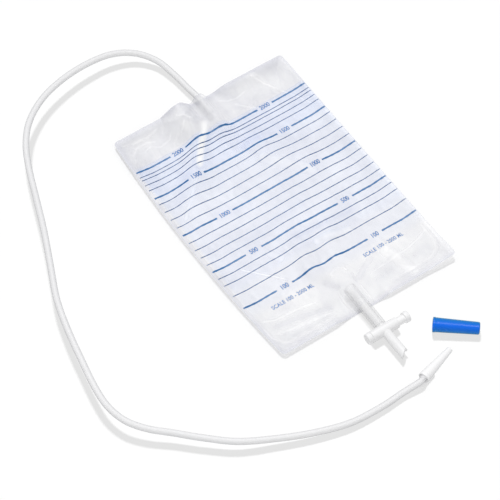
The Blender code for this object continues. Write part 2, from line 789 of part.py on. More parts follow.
def make_long_tube(parts, tube_plastic):
    """Inlet tube, straight out of the sleeve, round on the table and into the connector."""
    origin, axis = connector_placement()
    tube_end = origin + axis * (SOCKET_DEPTH - SEAT_GAP)
    before = origin - axis * CONNECTOR_WIDE
    route = [
        (PORT_X, PORT_MOUTH_Y - TUBE_IN_PORT, PORT_Z),
        (PORT_X, PORT_MOUTH_Y - TUBE_IN_PORT / 2, PORT_Z),
        (PORT_X, PORT_MOUTH_Y, PORT_Z),
        *TUBE_ROUTE,
        tuple(before),
        tuple(origin),
        tuple(tube_end),
    ]
    curve = bpy.data.curves.new("inlet_tube", "CURVE")
    curve.dimensions = "3D"
    curve.bevel_depth = TUBE_RADIUS
    curve.bevel_resolution = 2
    curve.use_fill_caps = True
    points = smooth_route(route, TUBE_POINTS)
    spline = curve.splines.new("POLY")
    spline.points.add(len(points) - 1)
    for knot, point in zip(spline.points, points):
        knot.co = (*point, 1.0)
    tube = bpy.data.objects.new("inlet_tube", curve)
    curve.materials.append(tube_plastic)
    parts.objects.link(tube)


def main():
    """Clear the scene and make the bag."""
    for old in list(bpy.data.objects):
        bpy.data.objects.remove(old)
    parts = bpy.data.collections.new("urine_drainage_bag")
    cutters = bpy.data.collections.new("cutters")
    for collection in (parts, cutters):
        bpy.context.scene.collection.children.link(collection)
    film = make_material("clear film", (0.82, 0.83, 0.88), 0.25)
    leaf_film = make_material("leaf film", (0.78, 0.80, 0.86), 0.35)
    tube_plastic = make_material("clear tube", (0.72, 0.72, 0.76), 0.2)
    tap_plastic = make_material("tap plastic", (0.85, 0.85, 0.86), 0.35)
    seal_rubber = make_material("seal rubber", (0.82, 0.82, 0.84), 0.5)
    connector_plastic = make_material("connector plastic", (0.88, 0.88, 0.90), 0.3)
    cap_plastic = make_material("cap plastic", (0.004, 0.107, 0.687), 0.35)
    make_films(parts, film, leaf_film)
    make_inlet(parts, tube_plastic)
    make_outlet_tube(parts, tube_plastic)
    make_tap_body(parts, cutters, tap_plastic)
    make_plunger(parts, tap_plastic, seal_rubber)
    make_connector(parts, connector_plastic)
    make_cap(parts, cap_plastic)
    make_long_tube(parts, tube_plastic)


main()
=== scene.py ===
"""Looks of the urine drainage bag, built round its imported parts.

The film pouch and its scale, the tubes, the tap, the connector and the cap are made
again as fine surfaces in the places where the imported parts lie. Sizes are in metres.
"""

import logging
import math
from dataclasses import dataclass, field
from enum import Enum
from typing import Any, Callable, Optional, Sequence, Union

import bmesh
import bpy
import numpy as np
from mathutils import Matrix, Vector


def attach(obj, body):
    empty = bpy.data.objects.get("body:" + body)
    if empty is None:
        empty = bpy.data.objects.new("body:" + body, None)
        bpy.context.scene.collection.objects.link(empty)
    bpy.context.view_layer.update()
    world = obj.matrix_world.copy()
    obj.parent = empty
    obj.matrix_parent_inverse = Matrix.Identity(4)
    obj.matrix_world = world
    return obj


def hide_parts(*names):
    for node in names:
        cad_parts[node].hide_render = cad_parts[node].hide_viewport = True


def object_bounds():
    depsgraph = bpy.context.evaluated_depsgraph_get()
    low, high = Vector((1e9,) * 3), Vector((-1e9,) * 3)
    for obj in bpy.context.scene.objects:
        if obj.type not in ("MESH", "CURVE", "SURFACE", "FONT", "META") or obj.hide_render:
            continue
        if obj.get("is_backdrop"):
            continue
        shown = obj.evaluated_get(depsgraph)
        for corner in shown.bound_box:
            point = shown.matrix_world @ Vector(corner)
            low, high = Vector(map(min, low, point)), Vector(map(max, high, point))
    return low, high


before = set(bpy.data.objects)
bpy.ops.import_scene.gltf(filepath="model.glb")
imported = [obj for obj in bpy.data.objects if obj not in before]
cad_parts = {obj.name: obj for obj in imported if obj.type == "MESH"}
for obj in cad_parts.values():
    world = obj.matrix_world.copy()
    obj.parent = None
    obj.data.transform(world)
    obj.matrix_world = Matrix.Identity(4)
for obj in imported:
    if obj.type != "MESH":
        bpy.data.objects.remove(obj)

Array = np.ndarray
Colour = tuple[float, float, float]
Point = tuple[float, float, float]
Value = Union["Socket", float, tuple]

LOG = logging.getLogger("drainage_bag")
MM = 1000.0
TINY = 1e-9
ACROSS = (1.0, 0.0, 0.0)
ALONG = (0.0, 1.0, 0.0)
WHITE = (1.0, 1.0, 1.0, 1.0)
SEAT_GAP = 0.0003
FLOOR_GAP = 0.0001
FILM = 0.0003
PLASTIC_IOR = 1.5

# Rounding distances of moulded corners, from the keenest to the softest
KEEN = 0.0002
CRISP = 0.0003
SOFT = 0.0004
EASED = 0.0005
BLUNT = 0.0006


class Body(Enum):
    """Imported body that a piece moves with."""

    BAG = "bag"
    PLUNGER = "plunger"


class Slot(Enum):
    """Material slot of the record."""

    FILM = "film"
    LEAF = "leaf_film"
    TUBE = "clear_tube"
    TAP = "tap_plastic"
    SEAL = "seal"
    CONNECTOR = "connector_plastic"
    CAP = "cap_blue"


class Shade(Enum):
    """Light that a piece keeps from the others: the sun's, the sky's."""

    BOTH = (True, True)
    SUN = (True, False)
    SKY = (False, True)
    NONE = (False, False)


class Crease(Enum):
    """Turn in degrees past which a piece's edges stay sharp."""

    MOULDED = 30.0
    CUT = 32.0
    PLAIN = 40.0
    ROD = 60.0
    FILM = 180.0


class Socket:
    """Output of a shader node, on which arithmetic adds Math nodes."""

    def __init__(self, graph: "Graph", link: Optional[bpy.types.NodeSocket]) -> None:
        """Keep the graph and the node output."""
        self.graph = graph
        self.link = link

    def maths(self, operation: str, *values: Value, clamp: bool = False) -> "Socket":
        """Add one Math node.

        Args:
            operation: name of the Math node's operation.
            values: its inputs in order.
            clamp: whether the result is kept between 0 and 1.

        Returns:
            The node's result.
        """
        settings = {"operation": operation, "use_clamp": clamp}
        return self.graph.node("ShaderNodeMath", settings, dict(enumerate(values)))

    def __add__(self, other: Value) -> "Socket":
        """Sum."""
        return self.maths("ADD", self, other)

    def __radd__(self, other: Value) -> "Socket":
        """Sum with a number on the left."""
        return self.maths("ADD", other, self)

    def __sub__(self, other: Value) -> "Socket":
        """Difference."""
        return self.maths("SUBTRACT", self, other)

    def __rsub__(self, other: Value) -> "Socket":
        """Difference with a number on the left."""
        return self.maths("SUBTRACT", other, self)

    def __mul__(self, other: Value) -> "Socket":
        """Product."""
        return self.maths("MULTIPLY", self, other)

    def __rmul__(self, other: Value) -> "Socket":
        """Product with a number on the left."""
        return self.maths("MULTIPLY", other, self)

    def __pow__(self, other: Value) -> "Socket":
        """Power."""
        return self.maths("POWER", self, other)

    def band(self, low: float, high: float, soft: float) -> "Socket":
        """Mask that is 1 between two values and falls to 0 over a soft edge.

        Args:
            low: lower value.
            high: upper value.
            soft: width of the soft edge outside each of them.

        Returns:
            The mask.
        """
        rise = self.maths("MULTIPLY", self - (low - soft), 1.0 / soft, clamp=True)
        fall = self.maths("MULTIPLY", (high + soft) - self, 1.0 / soft, clamp=True)
        return rise * fall

    def clamped(self, low: float = 0.0, high: float = 1.0) -> "Socket":
        """Value kept between two limits."""
        return self.maths("MINIMUM", self.maths("MAXIMUM", self, low), high)


class Graph:
    """Node tree of one material."""

    MIX_FIRST = 6
    MIX_SECOND = 7
    MIX_RESULT = 2

    def __init__(self, name: str) -> None:
        """Start an empty material.

        Args:
            name: the material's name.
        """
        self.material = bpy.data.materials.new(name)
        self.material.use_nodes = True
        self.tree = self.material.node_tree
        self.tree.nodes.clear()

    def node(
        self,
        kind: str,
        settings: Optional[dict[str, Any]] = None,
        sockets: Optional[dict[Union[str, int], Value]] = None,
        output: Union[str, int] = 0,
    ) -> Socket:
        """Add any node.

        Args:
            kind: the node's type.
            settings: attributes that are set first.
            sockets: values or links of its inputs.
            output: which output is returned.

        Returns:
            The chosen output.
        """
        made = self.tree.nodes.new(kind)
        for key, value in (settings or {}).items():
            setattr(made, key, value)
        for key, value in (sockets or {}).items():
            if isinstance(value, Socket):
                self.tree.links.new(value.link, made.inputs[key])
            else:
                made.inputs[key].default_value = value
        return Socket(self, made.outputs[output] if len(made.outputs) else None)

    def place(self, scale: Point = (1.0, 1.0, 1.0)) -> Socket:
        """Object coordinates, stretched by a scale."""
        place = self.node("ShaderNodeTexCoord", output="Object")
        return self.node("ShaderNodeMapping", None, {"Vector": place, "Scale": scale})

    def along(self, axis: str) -> Socket:
        """One object coordinate."""
        place = self.node("ShaderNodeTexCoord", output="Object")
        return self.node("ShaderNodeSeparateXYZ", None, {0: place}, axis)

    def noise(self, place: Socket, scale: float, detail: float = 2.0, warp: float = 0.0) -> Socket:
        """Noise between 0 and 1.

        Args:
            place: coordinates that it is read at.
            scale: cells a metre.
            detail: octaves of finer noise.
            warp: how far the noise bends itself.

        Returns:
            The noise.
        """
        sockets = {"Vector": place, "Scale": scale, "Detail": detail, "Distortion": warp}
        return self.node("ShaderNodeTexNoise", None, sockets)

    def attribute(self, name: str) -> Socket:
        """Number stored on the mesh."""
        return self.node("ShaderNodeAttribute", {"attribute_name": name}, output="Fac")

    def mixed(self, share: Value, first: Value, second: Value) -> Socket:
        """Colour between two colours.

        Args:
            share: share of the second colour.
            first: first colour, a link or three numbers.
            second: second colour, likewise.

        Returns:
            The mixed colour.
        """
        colours = [value if isinstance(value, Socket) else (*value, 1.0) for value in (first, second)]
        sockets = {0: share, self.MIX_FIRST: colours[0], self.MIX_SECOND: colours[1]}
        return self.node("ShaderNodeMix", {"data_type": "RGBA"}, sockets, self.MIX_RESULT)

    def tinted(self, colour: Socket, tint: Colour) -> Socket:
        """Colour multiplied by a tint.

        Args:
            colour: the colour.
            tint: factor of its red, green and blue.

        Returns:
            The tinted colour.
        """
        settings = {"data_type": "RGBA", "blend_type": "MULTIPLY"}
        sockets = {0: 1.0, self.MIX_FIRST: colour, self.MIX_SECOND: (*tint, 1.0)}
        return self.node("ShaderNodeMix", settings, sockets, self.MIX_RESULT)

    def rise(self, value: Socket) -> Socket:
        """Value where it is above 0, else 0."""
        return value.maths("MAXIMUM", value, 0.0)

    def facing(self) -> Socket:
        """1 - cos of the view's angle to the surface."""
        return self.node("ShaderNodeLayerWeight", None, {"Blend": 0.5}, "Facing")

    def bump(self, height: Socket, depth: float, below: Optional[Socket] = None) -> Socket:
        """Normal tilted by a height.

        Args:
            height: height from 0 to 1.
            depth: metres that a height of 1 stands for.
            below: normal that is tilted, the surface's own if there is none.

        Returns:
            The tilted normal.
        """
        sockets = {"Height": height, "Distance": depth, "Strength": 1.0}
        if below is not None:
            sockets["Normal"] = below
        return self.node("ShaderNodeBump", None, sockets)

    def principled(self, **sockets: Value) -> bpy.types.Material:
        """Finish the material with a Principled shader.

        Args:
            sockets: the shader's inputs, with _ for a space in their names.

        Returns:
            The material.
        """
        named = {key.replace("_", " "): value for key, value in sockets.items()}
        shader = self.node("ShaderNodeBsdfPrincipled", None, named)
        self.node("ShaderNodeOutputMaterial", None, {"Surface": shader})
        return self.material


@dataclass(frozen=True)
class ClearFilm:
    """Soft clear film: thin, glossy, with slow clouds of tint, and painted highlights and painted shade
    along its folds and edges.

    Its tone is clouds + streak noise + the painted highlights and painted shade, from 0 (clear, shaded)
    to 1 (milky, pale).
    The tint comes in steps, each a start in Y and a share, and stays off the painted highlights.
    """

    name: str
    pale: Colour = (0.91, 0.91, 0.92)
    shade: Colour = (0.64, 0.645, 0.70)
    # Painted highlight: the near white that the pale painted strokes turn to.
    crease: Colour = (0.99, 0.99, 0.99)
    print_tint: Optional[Colour] = None
    print_top: float = 0.104
    print_half: float = 0.0972
    print_soft: tuple[float, float] = (0.0042, 0.005)
    tint_steps: tuple[tuple[float, float], ...] = (
        (-0.088, 0.28),
        (-0.058, 0.22),
        (0.055, 0.10),
        (0.074, 0.25),
    )
    tint_soft: float = 0.012
    top_soft: float = 0.004
    top_shade: float = 0.25
    top_milk: float = 0.3
    opacity: float = 0.24
    most_opaque: float = 0.9
    # Opacity added along the painted highlights and painted shade, and in the top zone.
    milky: float = 0.40
    edge_opacity: float = 0.16
    edge_shade: float = 0.4
    roughness: float = 0.36
    roughness_swing: float = 0.10
    specular: float = 0.30
    cloud_scale: float = 24.0
    cloud_warp: float = 0.6
    cloud_share: float = 1.3
    streak_scale: float = 85.0
    streak_stretch: Point = (1.0, 0.45, 1.0)
    streak_warp: float = 1.4
    streak_share: float = 0.9
    mark_share: float = 0.8
    fine_scale: float = 340.0
    fine_stretch: Point = (1.0, 0.6, 1.0)
    fine_depth: float = 0.00002
    crinkle_depth: float = 0.00020

    def tint_share(self, graph: Graph, mark: Socket) -> Socket:
        """Share of the print's tint.

        Args:
            graph: the material's node tree.
            mark: value of the painted highlights and painted shade.

        Returns:
            The share, 0 outside the printed zone.
        """
        across, along = self.print_soft
        y = graph.along("Y")
        share = sum(y.band(start, 1.0, self.tint_soft) * part for start, part in self.tint_steps)
        share = share * y.band(-1.0, self.print_top, along) * (1.0 - graph.rise(mark))
        return share * graph.along("X").band(-self.print_half, self.print_half, across)

    def material(self) -> bpy.types.Material:
        """Make the film's material.

        Returns:
            The material.
        """
        graph = Graph(self.name)
        cloud = graph.noise(graph.place(), self.cloud_scale, 3.0, self.cloud_warp)
        streak = graph.noise(graph.place(self.streak_stretch), self.streak_scale, 3.0, self.streak_warp)
        mark = graph.attribute("mark")
        top = graph.along("Y").band(self.print_top + self.top_soft, 1.0, self.top_soft)
        edge = graph.attribute("edge")
        tone = 0.5 + (cloud - 0.5) * self.cloud_share + (streak - 0.5) * self.streak_share
        # The painted highlights and painted shade lighten and darken the tone.
        tone = tone + mark * self.mark_share - top * self.top_shade
        tone = tone - edge * self.edge_shade
        colour = graph.mixed(tone.clamped(), self.shade, self.pale)
        if self.print_tint is not None:
            tinted = graph.tinted(colour, self.print_tint)
            colour = graph.mixed(self.tint_share(graph, mark), colour, tinted)
        # Painted highlight: the pale strokes turn the colour near white.
        colour = graph.mixed(graph.rise(mark) ** 2.0, colour, self.crease)
        strong = graph.rise(mark) + graph.rise(0.0 - mark) * 0.5 + top * self.top_milk
        opacity = self.opacity + strong * self.milky + edge * self.edge_opacity
        fine = graph.noise(graph.place(self.fine_stretch), self.fine_scale, 2.0)
        normal = graph.bump(streak, self.crinkle_depth)
        normal = graph.bump(fine, self.fine_depth, normal)
        return graph.principled(
            Base_Color=colour,
            Roughness=self.roughness + self.roughness_swing * cloud,
            Alpha=opacity.clamped(0.0, self.most_opaque),
            Normal=normal,
            IOR=PLASTIC_IOR,
            Specular_IOR_Level=self.specular,
        )


@dataclass(frozen=True)
class ClearTube:
    """Clear soft tubing, with painted shade: a darker line at each rim, standing in for the wall's
    refraction.

    The held stretch, from one Y to another within a half-width of X, lies between films.
    """

    name: str
    middle: Colour = (0.89, 0.89, 0.90)
    rim: Colour = (0.44, 0.44, 0.46)
    rim_power: float = 1.3
    opacity: float = 0.72
    rim_opacity: float = 0.20
    roughness: float = 0.45
    roughness_swing: float = 0.10
    specular: float = 0.4
    cloud_scale: float = 60.0
    cloud_opacity: float = 0.08
    cloud_depth: float = 0.00002
    held: Optional[tuple[float, float, float]] = None
    held_soft: float = 0.002
    held_clear: float = 0.50

    def material(self) -> bpy.types.Material:
        """Make the tubing's material.

        Returns:
            The material.
        """
        graph = Graph(self.name)
        rim = graph.facing() ** self.rim_power
        cloud = graph.noise(graph.place(), self.cloud_scale, 2.0)
        # Painted shade: the colour darkens towards each rim.
        colour = graph.mixed(rim.clamped(), self.middle, self.rim)
        opacity = self.opacity + rim * self.rim_opacity + (cloud - 0.5) * self.cloud_opacity
        if self.held is not None:
            low, high, half = self.held
            inside = graph.along("Y").band(low, high, self.held_soft)
            inside = inside * graph.along("X").band(-half, half, self.held_soft)
            opacity = opacity - inside * self.held_clear
        return graph.principled(
            Base_Color=colour,
            Roughness=self.roughness + self.roughness_swing * cloud,
            Alpha=opacity.clamped(),
            Normal=graph.bump(cloud, self.cloud_depth),
            IOR=PLASTIC_IOR,
            Specular_IOR_Level=self.specular,
        )


@dataclass(frozen=True)
class MouldedPlastic:
    """Moulded plastic: faint orange peel, slightly uneven colour, and painted shade towards the
    silhouette where a rim colour is given.
    """

    name: str
    colour: Colour
    deep: Colour
    roughness: float
    opacity: float = 1.0
    gloss: float = 0.5
    rim: Optional[Colour] = None
    rim_power: float = 1.5
    roughness_swing: float = 0.12
    flow_scale: float = 160.0
    flow_warp: float = 0.8
    grain: float = 1400.0
    grain_depth: float = 0.00001

    def material(self) -> bpy.types.Material:
        """Make the plastic's material.

        Returns:
            The material.
        """
        graph = Graph(self.name)
        flow = graph.noise(graph.place(), self.flow_scale, 2.0, self.flow_warp)
        peel = graph.noise(graph.place(), self.grain, 2.0)
        colour = graph.mixed(flow, self.deep, self.colour)
        if self.rim is not None:
            # Painted shade: the colour turns to the rim colour towards the silhouette.
            colour = graph.mixed(graph.facing() ** self.rim_power, colour, self.rim)
        sockets = {
            "Base_Color": colour,
            "Roughness": self.roughness + self.roughness_swing * (peel - 0.5),
            "Normal": graph.bump(peel, self.grain_depth),
            "IOR": PLASTIC_IOR,
            "Specular_IOR_Level": self.gloss,
        }
        if self.opacity < 1.0:
            sockets["Alpha"] = self.opacity
        return graph.principled(**sockets)


@dataclass(frozen=True)
class PrintInk:
    """Flexible ink on film: flat colour that breaks up a little along the line."""

    name: str
    colour: Colour
    faded: Colour
    patch_scale: float = 240.0
    patch_start: float = 0.35
    patch_share: float = 1.6
    grain_scale: float = 2600.0
    grain_share: float = 0.4
    roughness: float = 0.38
    roughness_swing: float = 0.1

    def material(self) -> bpy.types.Material:
        """Make the ink's material.

        Returns:
            The material.
        """
        graph = Graph(self.name)
        patch = graph.noise(graph.place(), self.patch_scale, 3.0)
        grain = graph.noise(graph.place(), self.grain_scale, 1.0)
        share = (patch - self.patch_start) * self.patch_share + (grain - 0.5) * self.grain_share
        return graph.principled(
            Base_Color=graph.mixed(share.clamped(), self.faded, self.colour),
            Roughness=self.roughness + self.roughness_swing * grain,
        )


BACK_FINISH = ClearFilm("clear_film", opacity=0.38, edge_opacity=0.48)
FRONT_FINISH = ClearFilm("printed_film", print_tint=(0.28, 0.53, 1.15), edge_opacity=0.15)
LEAF_FINISH = ClearFilm("leaf_film", opacity=0.03, milky=0.03)
TUBE_FINISH = ClearTube("clear_tubing", held=(0.080, 0.1465, 0.012))
SLEEVE_FINISH = ClearTube("sleeve_tubing", rim=(0.70, 0.70, 0.72), opacity=0.03, rim_opacity=0.06)
OUTLET_FINISH = ClearTube("outlet_tubing", opacity=0.22, rim_opacity=0.24)
# The rim colours below are painted shade at each piece's silhouette.
TAP_FINISH = MouldedPlastic(
    "natural_plastic",
    colour=(0.93, 0.93, 0.935),
    deep=(0.89, 0.89, 0.90),
    roughness=0.42,
    opacity=0.90,
    gloss=0.3,
    rim=(0.66, 0.66, 0.67),
)
SEAL_FINISH = MouldedPlastic(
    "silicone",
    colour=(0.82, 0.82, 0.84),
    deep=(0.74, 0.74, 0.77),
    roughness=0.45,
)
CONNECTOR_FINISH = MouldedPlastic(
    "connector_white",
    colour=(0.96, 0.96, 0.965),
    deep=(0.93, 0.93, 0.94),
    roughness=0.38,
    gloss=0.4,
    rim=(0.60, 0.60, 0.61),
)
CAP_FINISH = MouldedPlastic(
    "glossy_blue",
    colour=(0.0, 0.163, 0.92),
    deep=(0.0, 0.145, 0.85),
    roughness=0.26,
    gloss=0.22,
    rim=(0.0, 0.18, 0.20),
    rim_power=0.8,
    grain_depth=0.000002,
)
LINE_INK = PrintInk("line_ink", (0.001, 0.088, 0.26), (0.006, 0.128, 0.35))
NUMBER_INK = PrintInk("number_ink", (0.008, 0.088, 0.29), (0.016, 0.128, 0.39))
FINE_INK = PrintInk("fine_ink", (0.006, 0.052, 0.16), (0.020, 0.082, 0.23))


@dataclass
class Shape:
    """Points of a surface and the faces between them."""

    points: Array
    faces: list[list[int]]

    def placed(self, origin: Point, direction: Point) -> "Shape":
        """Turn the shape's own Z to a direction and move its origin to a point."""
        turn = Vector((0.0, 0.0, 1.0)).rotation_difference(Vector(direction)).to_matrix()
        return Shape(self.points @ np.array(turn).T + np.array(origin), self.faces)


def grid_faces(rows: int, columns: int, wrap_rows: bool = False, wrap_columns: bool = False) -> Array:
    """Quads of a grid whose points are numbered row by row.

    Args:
        rows: number of rows of points.
        columns: number of points in a row.
        wrap_rows: whether the last row joins the first.
        wrap_columns: whether the last column joins the first.

    Returns:
        Four point numbers for each quad.
    """
    row = np.arange(rows if wrap_rows else rows - 1)[:, None]
    column = np.arange(columns if wrap_columns else columns - 1)[None, :]
    below, right = (row + 1) % rows, (column + 1) % columns
    corners = (
        row * columns + column,
        row * columns + right,
        below * columns + right,
        below * columns + column,
    )
    return np.stack(np.broadcast_arrays(*corners), axis=-1).reshape(-1, 4)


def film_shell(surface: Array, thickness: float) -> Shape:
    """Closed thin sheet: upper point = lower point + unit normal x thickness.

    Args:
        surface: grid of underside points, rows by columns by 3, rising in X and Y.
        thickness: the sheet's thickness.

    Returns:
        The sheet with both faces and its rim.
    """
    rows, columns = surface.shape[:2]
    normal = np.cross(np.gradient(surface, axis=1), np.gradient(surface, axis=0))
    normal /= np.linalg.norm(normal, axis=2, keepdims=True)
    lower = surface.reshape(-1, 3)
    upper = lower + thickness * normal.reshape(-1, 3)
    count = len(lower)
    number = np.arange(count).reshape(rows, columns)
    rim = np.concatenate([number[0], number[1:, -1], number[-1, -2::-1], number[-2:0:-1, 0]])
    after = np.roll(rim, -1)
    quads = grid_faces(rows, columns)
    walls = np.stack([rim, after, after + count, rim + count], axis=1)
    faces = np.concatenate([quads[:, ::-1], quads + count, walls])
    return Shape(np.concatenate([lower, upper]), faces.tolist())


def film_face(surface: Array, up: bool) -> Shape:
    """Clear film as one surface, so that light crosses it once.

    Args:
        surface: grid of points, rows by columns by 3, rising in X and Y.
        up: whether its faces point up.

    Returns:
        The surface.
    """
    quads = grid_faces(*surface.shape[:2])
    return Shape(surface.reshape(-1, 3), (quads if up else quads[:, ::-1]).tolist())


def end_fans(count: int, sides: int) -> list[list[int]]:
    """Triangles that close a tube's first ring and its last.

    Args:
        count: points on all the rings; the two middles are numbered after them.
        sides: points on one ring.

    Returns:
        Three point numbers for each triangle.
    """
    ring, after = np.arange(sides), np.roll(np.arange(sides), -1)
    last = count - sides
    low = np.stack([after, ring, np.full(sides, count)], axis=1)
    high = np.stack([ring + last, after + last, np.full(sides, count + 1)], axis=1)
    return np.concatenate([low, high]).tolist()


def turned(profile: Array, sides: int, bored: bool = True) -> Shape:
    """Solid of revolution: point = (r cos a, r sin a, h) for each profile point (r, h).

    Args:
        profile: points up the outside, then down the bore, or from pole to pole.
        sides: number of facets round.
        bored: whether a bore joins the last point to the first.

    Returns:
        The solid about Z, closed unless it has neither poles nor a bore.
    """
    angle = np.arange(sides) * 2.0 * math.pi / sides
    poles = profile[0, 0] == 0.0 and profile[-1, 0] == 0.0
    rings = profile[1:-1] if poles else profile
    radius, height = rings[:, :1], np.repeat(rings[:, 1:], sides, axis=1)
    points = np.stack([radius * np.cos(angle), radius * np.sin(angle), height], axis=-1).reshape(-1, 3)
    faces = grid_faces(len(rings), sides, wrap_rows=bored and not poles, wrap_columns=True).tolist()
    if poles:
        faces += end_fans(len(points), sides)
        middles = [[0.0, 0.0, profile[0, 1]], [0.0, 0.0, profile[-1, 1]]]
        points = np.concatenate([points, middles])
    return Shape(points, faces)


def rounded(corners: Sequence[Point], closed: bool, steps: int = 5) -> Array:
    """Profile with rounded corners: each is a parabola between points d away on its sides.

    The curve at t is (1-t)^2 (P + d u) + 2t(1-t) P + t^2 (P + d v).

    Args:
        corners: (radius, height, rounding distance) in order.
        closed: whether the last corner joins the first.
        steps: points on each rounded corner, less one.

    Returns:
        The profile's points.
    """
    corner = np.array(corners)
    place, reach = corner[:, :2], corner[:, 2:]
    before, after = np.roll(place, 1, axis=0) - place, np.roll(place, -1, axis=0) - place
    if not closed:
        before[0], after[-1] = after[0], before[-1]
    back = before / np.maximum(np.linalg.norm(before, axis=1, keepdims=True), TINY)
    ahead = after / np.maximum(np.linalg.norm(after, axis=1, keepdims=True), TINY)
    t = np.linspace(0.0, 1.0, steps + 1)[None, :, None]
    start, end = (place + reach * back)[:, None], (place + reach * ahead)[:, None]
    curve = (1 - t) ** 2 * start + 2 * t * (1 - t) * place[:, None] + t**2 * end
    kept = [points if size > 0.0 else points[:1] for points, size in zip(curve, reach[:, 0])]
    return np.concatenate(kept)


def rod_profile(radius: float, start: float, end: float, near: float = 0.0, far: float = 0.0) -> Array:
    """Profile of a plain rod, from pole to pole.

    Args:
        radius: the rod's radius.
        start: height of its near end.
        end: height of its far end.
        near: rounding distance of the near end's edge, 0 for a sharp one.
        far: rounding distance of the far end's edge.

    Returns:
        The profile's points.
    """
    corners = [(0.0, start, 0.0), (radius, start, near), (radius, end, far), (0.0, end, 0.0)]
    return rounded(corners, closed=False)


def lying_axis(wide: float, narrow: float, length: float, heading_deg: float) -> tuple[Vector, float]:
    """Direction of a taper that lies on its side: it drops by asin((wide - narrow) / length).

    Args:
        wide: radius of its wide end.
        narrow: radius of its narrow end.
        length: its length.
        heading_deg: turn of its narrow end from +X, seen from above.

    Returns:
        Direction from the wide end to the narrow one, and the cosine of the drop.
    """
    drop, heading = math.asin((wide - narrow) / length), math.radians(heading_deg)
    level = math.cos(drop)
    return Vector((math.cos(heading) * level, math.sin(heading) * level, -math.sin(drop))), level


def smooth_route(points: Sequence[Point], count: int, steps: int = 24) -> Array:
    """Evenly spaced points on a Catmull-Rom curve through a route's points.

    From b to c, with a before and d after them, the curve at t is
    b + t (c - a) / 2 + t^2 (a - 2.5 b + 2 c - d / 2) + t^3 (3 b - a - 3 c + d) / 2.

    Args:
        points: the route's own points.
        count: number of points on the curve.
        steps: steps on each span before they are spaced evenly.

    Returns:
        The curve's points.
    """
    knots = np.array(points)
    ends = np.vstack([2 * knots[0] - knots[1], knots, 2 * knots[-1] - knots[-2]])
    a, b, c, d = (ends[k : len(ends) - 3 + k, None] for k in range(4))
    t = np.linspace(0.0, 1.0, steps, endpoint=False)[None, :, None]
    spans = (
        b
        + 0.5 * t * (c - a)
        + t**2 * (a - 2.5 * b + 2.0 * c - 0.5 * d)
        + 0.5 * t**3 * (3.0 * b - a - 3.0 * c + d)
    )
    curve = np.vstack([spans.reshape(-1, 3), knots[-1:]])
    run = np.concatenate([[0.0], np.cumsum(np.linalg.norm(np.diff(curve, axis=0), axis=1))])
    even = np.linspace(0.0, run[-1], count)
    return np.column_stack([np.interp(even, run, curve[:, k]) for k in range(3)])


def swept_rod(path: Array, radius: float, sides: int) -> Shape:
    """Round rod along a path: centre + radius (cos a side + sin a rise) on every ring.

    Args:
        path: centreline points.
        radius: outside radius.
        sides: number of facets round.

    Returns:
        The closed rod, with a fan on each end.
    """
    tangent = np.gradient(path, axis=0)
    tangent /= np.linalg.norm(tangent, axis=1, keepdims=True)
    side = np.cross(tangent, (0.0, 0.0, 1.0))
    side /= np.linalg.norm(side, axis=1, keepdims=True)
    rise = np.cross(side, tangent)
    angle = np.arange(sides) * 2.0 * math.pi / sides
    ring = np.cos(angle)[None, :, None] * side[:, None] + np.sin(angle)[None, :, None] * rise[:, None]
    points = (path[:, None] + radius * ring).reshape(-1, 3)
    faces = grid_faces(len(path), sides, wrap_columns=True).tolist() + end_fans(len(points), sides)
    return Shape(np.concatenate([points, path[:1], path[-1:]]), faces)


def make_piece(
    name: str,
    shape: Shape,
    material: bpy.types.Material,
    crease: Crease = Crease.PLAIN,
    shade: Shade = Shade.BOTH,
) -> bpy.types.Object:
    """Put a shape into the scene as a smooth-shaded piece.

    Args:
        name: the piece's name.
        shape: its points and faces.
        material: its material.
        crease: the turn past which its edges stay sharp.
        shade: the light that it keeps from the others.

    Returns:
        The new object, at the origin.
    """
    mesh = bpy.data.meshes.new(name)
    mesh.from_pydata(shape.points.tolist(), [], shape.faces)
    mesh.shade_smooth()
    mesh.set_sharp_from_angle(angle=math.radians(crease.value))
    mesh.materials.append(material)
    piece = bpy.data.objects.new(name, mesh)
    piece.visible_shadow, piece.visible_diffuse = shade.value
    bpy.context.scene.collection.objects.link(piece)
    return piece


def carry(piece: bpy.types.Object, body: Body, slot: Optional[Slot], *nodes: str) -> bpy.types.Object:
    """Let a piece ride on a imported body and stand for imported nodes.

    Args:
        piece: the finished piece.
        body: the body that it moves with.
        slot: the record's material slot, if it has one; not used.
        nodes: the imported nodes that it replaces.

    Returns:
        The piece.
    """
    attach(piece, body.value)
    if nodes:
        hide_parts(*nodes)
    LOG.info("%s rides on %s and has %d faces", piece.name, body.value, len(piece.data.polygons))
    return piece


def smoothstep(t: Array) -> Array:
    """Ease from 0 to 1: 3t^2 - 2t^3 with t kept between 0 and 1."""
    t = np.clip(t, 0.0, 1.0)
    return t * t * (3.0 - 2.0 * t)


def from_line(x: Array, y: Array, start: Sequence[float], end: Sequence[float]) -> tuple[Array, Array]:
    """Nearest place on a straight line: its share is (p - a)(b - a) / |b - a|^2 from 0 to 1.

    Args:
        x: points' coordinates across.
        y: points' coordinates along.
        start: the line's start, in X and Y.
        end: the line's end.

    Returns:
        For each point the share of the line and the distance to that place.
    """
    run = np.subtract(end, start)
    share = np.clip(((x - start[0]) * run[0] + (y - start[1]) * run[1]) / (run @ run), 0.0, 1.0)
    return share, np.hypot(x - start[0] - share * run[0], y - start[1] - share * run[1])


# A fold is a broken line of (x, y, height, half-width), in metres
Fold = tuple[tuple[float, float, float, float], ...]

